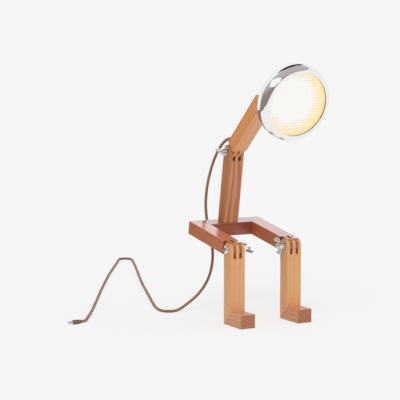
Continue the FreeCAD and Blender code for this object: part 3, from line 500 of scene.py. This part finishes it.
FINISHES = {
    chrome: ("head_shell", "bezel_ring", "rim_clip", "mount_boss"),
    zinc: ("left_knee_bolt", "right_knee_bolt", "neck_bolt", "left_knee_washer",
           "right_knee_washer", "neck_washer", "left_knee_wing_nut", "right_knee_wing_nut",
           "neck_wing_nut", "bezel_screw", "mount_stud"),
    nickel: ("plug_pin",),
    brass: ("neck_insert",),
    mirror: ("reflector",),
    rubber: ("lens_gasket",),
    nylon: ("cable_bush",),
    ceramic: ("lamp_holder",),
    frosted: ("led_capsule",),
    vinyl: ("inner_lead", "plug_body"),
    dowel: ("heel_dowel_left", "heel_dowel_right", "hip_dowels", "torso_dowels"),
}
for finish, names in FINISHES.items():
    for name in names:
        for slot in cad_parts[name].material_slots:
            slot.material = finish
print("solids finished:", sum(map(len, FINISHES.values())))

# %% Head coordinates
# X to the figure's left, Y up and Z forwards along the headlamp, from the centre of its widest
# circle.
HEAD_CENTRE = Vector((0, -95.10, 339.54)) * MM
HEAD_FORWARD = Vector((0, -0.97437, -0.22495))
HEAD_UP = Vector((0, -0.22495, 0.97437))
HEAD_AXES = Matrix((Vector((1, 0, 0)), HEAD_UP, HEAD_FORWARD)).transposed().to_4x4()
HEAD = Matrix.Translation(HEAD_CENTRE) @ HEAD_AXES
HEAD_TURN = tuple(HEAD.to_euler())

# %% [markdown]
# ## The chromium head
# Bezel and bowl are pressed and spun from sheet, so each is a section turned round one axis. A
# mirror shows every flat of a coarse mesh as a kink in its reflections, so both are turned again
# here from the same sections as their solids, with many more steps.

# %% Turn a section round the axis
def arc(centre, radius, first, last, steps):
    """Points along a circle, in mm, with the angles in degrees."""
    turns = [math.radians(first + (last - first) * i / steps) for i in range(steps + 1)]
    return [(centre[0] + radius * math.cos(t), centre[1] + radius * math.sin(t)) for t in turns]


def turned(name, section, place, material, steps=192, crease=30):
    """Turns a closed section of (radius, height) in mm round Z, then moves it to its place."""
    shape = bmesh.new()
    rings = []
    for radius, height in section:
        if radius < 1e-6:
            rings.append([shape.verts.new((0, 0, height * MM))] * steps)
            continue
        turns = [TURN * i / steps for i in range(steps)]
        rings.append([shape.verts.new((radius * MM * math.cos(t), radius * MM * math.sin(t),
                                       height * MM)) for t in turns])
    for ring, following in zip(rings, rings[1:] + rings[:1]):
        for i in range(steps):
            j = (i + 1) % steps
            corners = [ring[i], ring[j], following[j], following[i]]
            corners = [corner for spot, corner in enumerate(corners)
                       if corner not in corners[:spot]]
            if len(corners) > 2:
                shape.faces.new(corners)
    bmesh.ops.recalc_face_normals(shape, faces=shape.faces)
    shape.transform(place)
    mesh = bpy.data.meshes.new(name)
    shape.to_mesh(mesh)
    shape.free()
    mesh.materials.append(material)
    mesh.shade_smooth()
    mesh.set_sharp_from_angle(angle=math.radians(crease))
    return linked(mesh, name)


# %% Bezel and bowl
# The bezel's section: the rolled outside, the lip at the glass, the inside and the skirt's edge.
ROLL_CENTRE, ROLL, SHEET = (47.12, -0.665), 11.2, 0.9
LIP = [(48.2, 10.42), (48.0, 10.2), (48.0, 9.8)]
SKIRT = [(56.6, -9.0), (57.1, -9.3), (57.5, -9.0)]
bezel_section = arc(ROLL_CENTRE, ROLL, 3.4, 82.5, 20) + LIP
bezel_section += arc(ROLL_CENTRE, ROLL - SHEET, 84.0, 3.7, 14) + SKIRT
bezel = turned("chromium_bezel", bezel_section, HEAD, chrome)
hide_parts("bezel_ring")

BOWL_DEPTH, NOSE, NOSE_JOIN = 80.0, 20.0, 50.0
BOWL_RIM, RIM_HEIGHT, BOWL_SHEET = 54.0, 4.2, 1.0
NOSE_CENTRE = NOSE - BOWL_DEPTH
flank = (math.sin(math.radians(NOSE_JOIN)), -math.cos(math.radians(NOSE_JOIN)))
join = (NOSE * flank[0], NOSE_CENTRE + NOSE * flank[1])
# The bowl's side is the arc that starts at its rim and runs smoothly into the nose.
chord = (join[0] - BOWL_RIM, join[1] - RIM_HEIGHT)
bowl_arc = (chord[0] ** 2 + chord[1] ** 2) / (2 * (chord[0] * flank[0] + chord[1] * flank[1]))
bowl_centre = (join[0] - bowl_arc * flank[0], join[1] - bowl_arc * flank[1])
rim_turn = math.degrees(math.asin((RIM_HEIGHT - bowl_centre[1]) / bowl_arc))


def bowl_line(inset):
    """The bowl's outline from its rim to its nose, drawn in by inset mm."""
    side = arc(bowl_centre, bowl_arc - inset, rim_turn, NOSE_JOIN - 90, 24)
    nose = arc((0, NOSE_CENTRE), NOSE - inset, NOSE_JOIN - 90, -90, 12)
    return side + nose[1:-1] + [(0, inset - BOWL_DEPTH)]


outside, inside = bowl_line(0.0), bowl_line(BOWL_SHEET)
FLANGE, FLANGE_BACK = 56, 3.2
bowl_section = outside + inside[::-1] + [
    (inside[0][0], RIM_HEIGHT), (FLANGE, RIM_HEIGHT), (FLANGE, FLANGE_BACK), (54.3, FLANGE_BACK)]
bowl = turned("chromium_bowl", bowl_section, HEAD, chrome)
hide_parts("head_shell")
for piece in (bezel, bowl):
    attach(piece, "head")
    print(piece.name, len(piece.data.polygons), "faces")

# %% [markdown]
# ## Screws and wing nuts
# The three pivots share one pan-head M6 screw and one wing nut, each made once along its own axis
# and then put in its three places. The thread is a rule, a ridge wound round a core, so Geometry
# Nodes wind it. The nut is a casting with no sharp edge: its plain forms are fused into one skin
# by a voxel remesh and smoothed, and only then is its hole cut.

# %% Thread
thread_tree, given = new_geometry_tree("rolled_thread", Diameter=0.00594, Pitch=0.001,
                                       Depth=0.0004, Length=0.039, Sides=28)
ridge_line = math_node(thread_tree, "SUBTRACT", product(thread_tree, given["Diameter"], 0.5),
                       given["Depth"])
rotations = math_node(thread_tree, "DIVIDE", given["Length"], given["Pitch"])
winding = add_node(thread_tree, "GeometryNodeCurveSpiral",
                   {"Resolution": given["Sides"], "Rotations": rotations,
                    "Start Radius": ridge_line, "End Radius": ridge_line,
                    "Height": given["Length"]})
upright = add_node(thread_tree, "GeometryNodeSetCurveNormal", {0: winding.outputs[0]},
                   mode="Z_UP")
ridge = add_node(thread_tree, "GeometryNodeCurvePrimitiveCircle",
                 {"Resolution": 4, "Radius": given["Depth"]})
wound = add_node(thread_tree, "GeometryNodeCurveToMesh",
                 {"Curve": upright.outputs[0], "Profile Curve": ridge.outputs[0],
                  "Fill Caps": True})
# The core is 0.05 mm thinner than the ridge's middle line and 1 mm longer than the thread.
core = add_node(thread_tree, "GeometryNodeMeshCylinder",
                {"Vertices": given["Sides"], "Radius": total(thread_tree, ridge_line, -0.00005),
                 "Depth": total(thread_tree, given["Length"], 0.001)})
middle = add_node(thread_tree, "ShaderNodeCombineXYZ",
                  {2: product(thread_tree, given["Length"], 0.5)})
raised = add_node(thread_tree, "GeometryNodeTransform",
                  {0: core.outputs[0], "Translation": middle.outputs[0]})
both = add_node(thread_tree, "GeometryNodeJoinGeometry", {0: wound.outputs[0]})
thread_tree.links.new(raised.outputs[0], both.inputs[0])
end_tree(thread_tree, both.outputs[0], given, smooth=False)
thread = grow(thread_tree, "rolled_thread", zinc)


# %% Cutting and fusing
def finished(shape, name):
    """The mesh being built, as an object."""
    mesh = bpy.data.meshes.new(name)
    shape.to_mesh(mesh)
    shape.free()
    return linked(mesh, name)


def block(name, outline, thickness):
    """A flat plate from an outline of (x, z) in mm, as thick as given along Y."""
    shape = bmesh.new()
    front = [shape.verts.new((x * MM, -thickness / 2 * MM, z * MM)) for x, z in outline]
    back = [shape.verts.new((x * MM, thickness / 2 * MM, z * MM)) for x, z in outline]
    shape.faces.new(front)
    shape.faces.new(back[::-1])
    for i in range(len(outline)):
        j = (i + 1) % len(outline)
        shape.faces.new((front[j], front[i], back[i], back[j]))
    bmesh.ops.recalc_face_normals(shape, faces=shape.faces)
    return finished(shape, name)


def joined(name, pieces):
    """One mesh object from several; the pieces go away."""
    shape = bmesh.new()
    for piece in pieces:
        shape.from_mesh(piece.data)
        bpy.data.objects.remove(piece)
    return finished(shape, name)


def less(piece, cutter):
    """The piece with the cutter's form cut out of it."""
    modifier = piece.modifiers.new("cut", "BOOLEAN")
    modifier.operation, modifier.solver, modifier.object = "DIFFERENCE", "EXACT", cutter
    made = baked(piece, piece.name)
    bpy.data.objects.remove(cutter)
    return made


# %% Pan head
UNMOVED = Matrix()
HEAD_HEIGHT, HEAD_RADIUS, CROWN = 4.6, 6.0, 3.1
RECESS_DEPTH, BLADE_HALF, TIP_HALF, BLADE_THICKNESS = 2.2, 3.3, 1.5, 1.5
THREAD_FOOT = -0.0395   # m, below the head's seat
crown = arc((HEAD_RADIUS - CROWN, HEAD_HEIGHT - CROWN), CROWN, 8, 84, 8)
crown = [(radius, min(height, HEAD_HEIGHT)) for radius, height in crown]
skirt = [(0, 0), (HEAD_RADIUS - 0.2, 0), (HEAD_RADIUS, 0.25), (HEAD_RADIUS, HEAD_HEIGHT - 2.7)]
pan = turned("pan_head", skirt + crown + [(0, HEAD_HEIGHT)], UNMOVED, zinc, steps=64)
recess_floor = HEAD_HEIGHT - RECESS_DEPTH
wall = [(-BLADE_HALF, HEAD_HEIGHT + 1), (BLADE_HALF, HEAD_HEIGHT + 1),
        (BLADE_HALF, HEAD_HEIGHT), (TIP_HALF, recess_floor), (-TIP_HALF, recess_floor),
        (-BLADE_HALF, HEAD_HEIGHT)]
for turn_back in (0, math.pi / 2):
    blade = block("driver_blade", wall, BLADE_THICKNESS)
    blade.data.transform(Matrix.Rotation(turn_back, 4, "Z"))
    pan = less(pan, blade)
thread.data.transform(Matrix.Translation((0, 0, THREAD_FOOT)))
screw = joined("m6_screw", [pan, thread])
print("screw:", len(screw.data.polygons), "faces")

# %% Wing nut
VOXEL, WING_THICKNESS, BORE_RADIUS = 0.35 * MM, 2.0, 3.05
HUB = [(0, 0.3), (5.1, 0.3), (5.3, 0.6), (5.3, 2.0), (3.8, 7.8), (0, 7.8)]
hub = turned("hub", HUB, UNMOVED, zinc, steps=48)
ear = [(1.5, 1.4), (5.0, 1.9), (9.0, 3.9), (12.2, 6.0)]
ear += arc((11.6, 8.3), 2.2, -65, 60, 6) + arc((10.4, 11.2), 2.6, 30, 120, 6)
ear += [(8.2, 12.3), (6.2, 8.9), (3.6, 6.6), (1.5, 6.4)]
other_ear = [(-x, z) for x, z in ear][::-1]
wings = [block("wing", outline, WING_THICKNESS) for outline in (ear, other_ear)]
casting = joined("wing_nut_casting", [hub] + wings)
fusing = casting.modifiers.new("fuse", "REMESH")
fusing.mode, fusing.voxel_size = "VOXEL", VOXEL
easing = casting.modifiers.new("ease", "SMOOTH")
easing.factor, easing.iterations = 0.5, 4
casting = baked(casting, "wing_nut_casting")
drill = turned("drill", [(0, -2), (BORE_RADIUS, -2), (BORE_RADIUS, 12), (0, 12)], UNMOVED, zinc,
               steps=48)
casting = less(casting, drill)
print("wing nut:", len(casting.data.polygons), "faces")

# %% Put the fasteners in their places
# pivot: (its middle in mm, the side its screw head is on, how far round its nut is left, in
#         degrees, the body of its screw, the body of its nut)
PIVOTS = {
    "left_knee": (Vector((50, -6.6626, 115)), 1, 20, "leg_left", "knee_nut_left"),
    "right_knee": (Vector((-50, -6.6626, 115)), -1, 115, "leg_right", "knee_nut_right"),
    "neck": (Vector((0, 81.7413, 255.0110)), 1, 73, "seat", "neck_nut"),
}
HALF_STOCK, NUT_LIFT = 12.5, 1.7
SCREW_CREASE, NUT_CREASE = 35, 50


def place_copy(source, name, place, node, body, crease):
    """A copy of a fastener, moved to its place and riding on its body."""
    mesh = source.data.copy()
    mesh.name = name
    mesh.transform(place)
    mesh.materials.clear()
    mesh.materials.append(zinc)
    mesh.shade_smooth()
    mesh.set_sharp_from_angle(angle=math.radians(crease))
    made = linked(mesh, name)
    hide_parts(node)
    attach(made, body)


for pivot_name, (pivot, way, spin, screw_body, nut_body) in PIVOTS.items():
    head_out = Matrix.Rotation(math.radians(90 * way), 4, "Y")
    nut_out = Matrix.Rotation(math.radians(-90 * way), 4, "Y")
    head_seat = Matrix.Translation((pivot + Vector((way * HALF_STOCK, 0, 0))) * MM)
    nut_seat = Matrix.Translation((pivot - Vector((way * (HALF_STOCK + NUT_LIFT), 0, 0))) * MM)
    nut_turn = Matrix.Rotation(math.radians(spin), 4, "Z")
    place_copy(screw, pivot_name + "_screw", head_seat @ head_out, pivot_name + "_bolt",
               screw_body, SCREW_CREASE)
    place_copy(casting, pivot_name + "_nut", nut_seat @ nut_out @ nut_turn,
               pivot_name + "_wing_nut", nut_body, NUT_CREASE)
bpy.data.objects.remove(screw)
bpy.data.objects.remove(casting)

# %% [markdown]
# ## The lit lens
# A headlamp's glass isn't clear: small pillow prisms are pressed into it to spread the beam. The
# lens is a rule (a dome plus a grid of pillows), so Geometry Nodes make it: a flat grid of angle
# and radius is rolled up into a disc, and each point is lifted by the two shapes. When the lamp
# is on, the glass is far brighter than the room, white over the bulb and warm towards the rim;
# that light is painted into the glass as its own emission, as the bulb behind it gives none.

# %% Painted glow of the glass
# Pressed glass with a painted glow of its own, standing for the bulb's light behind it: a white
# glare, then amber prisms, then a warm rim.
glass, tree, shader = new_material("pressed_prism_glass")
place = surface_point(tree, tuple(HEAD_CENTRE), HEAD_TURN)
parts = add_node(tree, "ShaderNodeSeparateXYZ", {0: place}).outputs
# The painted hot spot, the brightest part of the glow, lies beside the middle of the glass.
SPOT_ASIDE, SPOT_ABOVE, PRISM, BY_PRISM, BY_RAY = 13.0, 7.0, 4.2, 9.0, 22.0   # mm
beside = total(tree, parts[0], SPOT_ASIDE)
above = math_node(tree, "SUBTRACT", parts[1], SPOT_ABOVE)
spread = math_node(tree, "SQRT", total(tree, product(tree, beside, beside),
                                       product(tree, above, above)))


def pillows(tree, first, second, per_length):
    """A grid of pillows, 0 along its lines and 1 in the middle of each pillow."""
    waves = [math_node(tree, "ABSOLUTE", math_node(tree, "SINE", product(tree, way, per_length)))
             for way in (first, second)]
    return product(tree, *waves)


cells = pillows(tree, parts[0], parts[1], math.pi / PRISM)
rays = stretched_noise(tree, place, (0.09, 0.09, 0.09), detail=2)
spread = total(tree, spread, product(tree, math_node(tree, "SUBTRACT", cells, 0.4), BY_PRISM))
spread = total(tree, spread, product(tree, math_node(tree, "SUBTRACT", rays, 0.5), BY_RAY))
painted_glow = blend_colours(tree, ramp(tree, spread, 37.0, 46.0), linear("F9F8F7"), linear("FFF2C6"))
painted_glow = blend_colours(tree, ramp(tree, spread, 48.0, 57.0), painted_glow, linear("FFE4A8"))
# Where bright meets warm, every second prism gets a painted amber glint, standing for the warm side
# of the beam.
between = product(tree, ramp(tree, spread, 34.0, 40.0),
                  ramp(tree, spread, 47.0, 60.0, 1.0, 0.35))
painted_prism_glints = product(tree, between, ramp(tree, cells, 0.45, 0.8))
painted_glow = blend_colours(tree, product(tree, painted_prism_glints, 0.48), painted_glow, linear("EDA64C"))
tree.links.new(painted_glow, shader.inputs["Emission Color"])
tree.links.new(ramp(tree, spread, 34.0, 58.0, 0.90, 0.92), shader.inputs["Emission Strength"])
unlit = blend_colours(tree, rays, linear("4A483E"), linear("3A382E"))
tree.links.new(unlit, shader.inputs["Base Color"])
shader.inputs["Roughness"].default_value = 0.08
shader.inputs["IOR"].default_value = 1.5

# %% Press the lens
lens_tree, given = new_geometry_tree("prism_lens", Radius=0.047, Dome=0.008, Prism=0.0042,
                                     Relief=0.0005, Spokes=300, Rings=76)
flat_sheet = add_node(lens_tree, "GeometryNodeMeshGrid",
                      {"Size X": TURN, "Size Y": 1.0,
                       "Vertices X": total(lens_tree, given["Spokes"], 1.0),
                       "Vertices Y": given["Rings"]})
position = add_node(lens_tree, "GeometryNodeInputPosition").outputs[0]
spot = add_node(lens_tree, "ShaderNodeSeparateXYZ", {0: position}).outputs
share = total(lens_tree, spot[1], 0.5)
reach = product(lens_tree, share, given["Radius"])
across = product(lens_tree, reach, math_node(lens_tree, "COSINE", spot[0]))
upward = product(lens_tree, reach, math_node(lens_tree, "SINE", spot[0]))
fall = math_node(lens_tree, "SUBTRACT", 1.0, product(lens_tree, share, share))
dome = product(lens_tree, given["Dome"], fall)
per_metre = math_node(lens_tree, "DIVIDE", math.pi, given["Prism"])
pillow = pillows(lens_tree, across, upward, per_metre)
fade = ramp(lens_tree, share, 0.96, 1.0, 1.0, 0.0)
relief = product(lens_tree, product(lens_tree, pillow, fade), given["Relief"])
lifted = math_node(lens_tree, "SUBTRACT", total(lens_tree, dome, relief), given["Relief"])
disc_point = add_node(lens_tree, "ShaderNodeCombineXYZ", {0: across, 1: upward, 2: lifted})
rolled = add_node(lens_tree, "GeometryNodeSetPosition",
                  {"Geometry": flat_sheet.outputs[0], "Position": disc_point.outputs[0]})
closed = add_node(lens_tree, "GeometryNodeMergeByDistance",
                  {0: rolled.outputs[0], "Distance": 0.00005})
end_tree(lens_tree, closed.outputs[0], given)
lens = grow(lens_tree, "prism_lens", glass)

# %% Close the lens at its back
LENS_RIM, LENS_FRONT, LENS_BACK = 51.5 * MM, 8 * MM, 5 * MM
HOLLOW_RADIUS, HOLLOW_DEPTH, BACK_RINGS = 45 * MM, 8 * MM, 5


def add_ring(shape, edges, radius, height):
    """Adds a ring of faces from these edges to a radius and height, and gives its new edges."""
    grown = bmesh.ops.extrude_edge_only(shape, edges=edges)["geom"]
    for vertex in (part for part in grown if isinstance(part, bmesh.types.BMVert)):
        flat = Vector((vertex.co.x, vertex.co.y)).normalized() * radius
        vertex.co = (flat.x, flat.y, height)
    return [part for part in grown if isinstance(part, bmesh.types.BMEdge) and part.is_boundary]


shape = bmesh.new()
shape.from_mesh(lens.data)
for vertex in shape.verts:
    vertex.co.z += LENS_FRONT
rim = [edge for edge in shape.edges if edge.is_boundary]
for radius, height in ((LENS_RIM, LENS_FRONT), (LENS_RIM, LENS_BACK), (HOLLOW_RADIUS, LENS_BACK)):
    rim = add_ring(shape, rim, radius, height)
for step in range(BACK_RINGS, 0, -1):
    radius = HOLLOW_RADIUS * (step - 0.9) / BACK_RINGS
    height = LENS_BACK + HOLLOW_DEPTH * (1 - (radius / HOLLOW_RADIUS) ** 2)
    rim = add_ring(shape, rim, radius, height)
bmesh.ops.contextual_create(shape, geom=rim)
bmesh.ops.recalc_face_normals(shape, faces=shape.faces)
shape.transform(HEAD)
shape.to_mesh(lens.data)
shape.free()
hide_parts("glass_lens")
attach(lens, "head")

# %% [markdown]
# ## Studio
# The lamp stands on a seamless pale sheet. Two soft suns and the bright surroundings light it
# evenly, so colours look as they were written. Polished metal shows whatever is around, and a
# white room alone would make the chromium look like paper. So five cards are there for
# reflections only: a grey room with a window in it, a warm low flag, a cool softbox behind the
# head and a dark beam over it.

# %% Floor
PAPER, PAPER_GLOW = linear("F6F6F6"), 0.72


def looked_at(tree):
    """1 where the camera, a mirror or clear glass looks, 0 where a surface gathers light."""
    rays = add_node(tree, "ShaderNodeLightPath").outputs
    mirrored = math_node(tree, "MAXIMUM", rays["Is Camera Ray"], rays["Is Glossy Ray"])
    return math_node(tree, "MAXIMUM", mirrored, rays["Is Transmission Ray"])


# Matt paper, partly lit by itself: an even, nearly white ground that still takes a shadow.
paper, tree, shader = new_material("pale_paper")
shader.inputs["Base Color"].default_value = linear("EDEDED")
shader.inputs["Roughness"].default_value = 0.9
shader.inputs["Specular IOR Level"].default_value = 0.0
even = add_node(tree, "ShaderNodeEmission", {"Color": PAPER, "Strength": 1.0})
mixed = add_node(tree, "ShaderNodeMixShader",
                 {0: product(tree, looked_at(tree), PAPER_GLOW), 1: shader.outputs[0],
                  2: even.outputs[0]})
tree.links.new(mixed.outputs[0], tree.nodes["Material Output"].inputs["Surface"])


def sheet_of(name, corners, material, fan=False):
    """A card of the studio: one flat face, or a fan of triangles round its first corner."""
    mesh = bpy.data.meshes.new(name)
    last = len(corners) - 1
    faces = [tuple(range(len(corners)))]
    if fan:
        faces = [(0, i, i % last + 1) for i in range(1, last + 1)]
    mesh.from_pydata(corners, [], faces)
    mesh.materials.append(material)
    made = linked(mesh, name)
    return made


sheet_of("floor", [(-40, -40, 0), (40, -40, 0), (40, 60, 0), (-40, 60, 0)], paper)

# %% Surroundings and lamps
world = bpy.data.worlds.new("studio")
bpy.context.scene.world = world
world.use_nodes = True
tree = world.node_tree
tree.nodes.clear()
around = add_node(tree, "ShaderNodeBackground", {"Color": (1, 1, 1, 1), "Strength": 0.62})
behind = add_node(tree, "ShaderNodeBackground", {"Color": PAPER, "Strength": 1.0})
mixed = add_node(tree, "ShaderNodeMixShader",
                 {0: looked_at(tree), 1: around.outputs[0], 2: behind.outputs[0]})
add_node(tree, "ShaderNodeOutputWorld", {"Surface": mixed.outputs[0]})

SUNS = {"key": (1.5, 35, (-0.55, -0.75, 1.0)), "fill": (0.5, 60, (0.9, -0.5, 0.8))}
for name, (strength, spread, direction) in SUNS.items():
    sun = bpy.data.lights.new(name, "SUN")
    sun.energy = strength
    sun.angle = math.radians(spread)
    lamp = bpy.data.objects.new(name, sun)
    lamp.visible_glossy = False
    lamp.rotation_mode = "QUATERNION"
    lamp.rotation_quaternion = Vector(direction).to_track_quat("Z", "Y")
    bpy.context.scene.collection.objects.link(lamp)


# %% Cards for reflections
def card(name, grey, corners, low=None, strength=1.0):
    """A card that only mirror-like surfaces see; low is its tone near the floor."""
    tone, tree, shader = new_material(name)
    height = add_node(tree, "ShaderNodeSeparateXYZ", {0: surface_point(tree)}).outputs[2]
    shade = blend_colours(tree, ramp(tree, height, 200, 1100), linear(low or grey), linear(grey))
    lit = add_node(tree, "ShaderNodeEmission", {"Color": shade, "Strength": strength})
    tree.links.new(lit.outputs[0], tree.nodes["Material Output"].inputs["Surface"])
    made = sheet_of(name, corners, tone, fan=True)
    made.visible_camera = made.visible_diffuse = False
    made.visible_transmission = made.visible_shadow = False


FLOOR_GAP = 0.004


def seen_from_head(directions, distance):
    """Corners of a card that covers these directions from the head, down to the floor."""
    corners = []
    for direction in directions:
        way = Vector(direction).normalized()
        to_floor = (HEAD_CENTRE.z - FLOOR_GAP) / -way.z if way.z < 0 else distance
        reach = min(distance, to_floor)
        corners.append(HEAD_CENTRE + way * reach)
    return corners


def upright_card(y, corners):
    """Corners of an upright card behind the lamp, at y, from its (x, z) corners."""
    return [Vector((x, y, z)) for x, z in corners]


# Each list starts with a place inside the card, where its triangles meet.
DARK_ROOM = [
    (-0.55, -0.65, 0.35), (0.62, -0.74, 0.28), (0.49, -0.87, 0.08), (0.29, -0.96, -0.02),
    (0.15, -0.97, -0.16), (-0.1, -0.95, -0.28), (-0.33, -0.88, -0.35), (-0.79, -0.45, -0.41),
    (-0.73, 0.59, -0.35), (-0.34, 0.91, -0.25), (-0.53, 0.83, -0.16), (-0.69, 0.73, 0.0),
    (-0.62, 0.75, 0.2), (-0.70, 0.58, 0.42), (-0.67, 0.30, 0.68), (-0.50, 0.08, 0.86),
    (-0.10, -0.18, 0.98), (0.24, 0.0, 0.97), (0.46, 0.22, 0.86), (0.70, -0.10, 0.71)]
WINDOW = [
    (-0.6, -0.6, 0.4), (-0.69, 0.10, 0.72), (-0.45, -0.6, 0.66), (-0.02, -0.98, 0.2),
    (0.1, -0.97, -0.05), (-0.5, -0.85, 0.05), (-0.81, -0.53, 0.24), (-0.83, -0.23, 0.5)]
BEAM = [
    (0.2, 0.3, 0.93), (-0.35, 0.25, 0.90), (-0.10, -0.10, 0.99), (0.24, -0.02, 0.97),
    (0.50, 0.15, 0.85), (0.62, 0.35, 0.70), (0.50, 0.62, 0.60), (0.20, 0.60, 0.77),
    (-0.15, 0.48, 0.86)]
LOW_FLAG = [(-0.5, 0.1), (-1.1, 0.0), (0.02, 0.0), (0.02, 0.20), (-1.1, 0.20)]
SOFTBOX = [(0.14, 0.24), (0.0, 0.19), (0.28, 0.19), (0.28, 0.30), (0.0, 0.30)]
card("dark_room_card", "B9B3B1", seen_from_head(DARK_ROOM, 2.2), low="8F8276")
card("window_card", "FFFFFF", seen_from_head(WINDOW, 1.6))
card("low_flag", "8A7464", upright_card(0.5, LOW_FLAG))
card("softbox_card", "F0F5FF", upright_card(0.286, SOFTBOX), strength=1.7)
card("beam_card", "1E1C1B", seen_from_head(BEAM, 2.0))
print("studio ready")
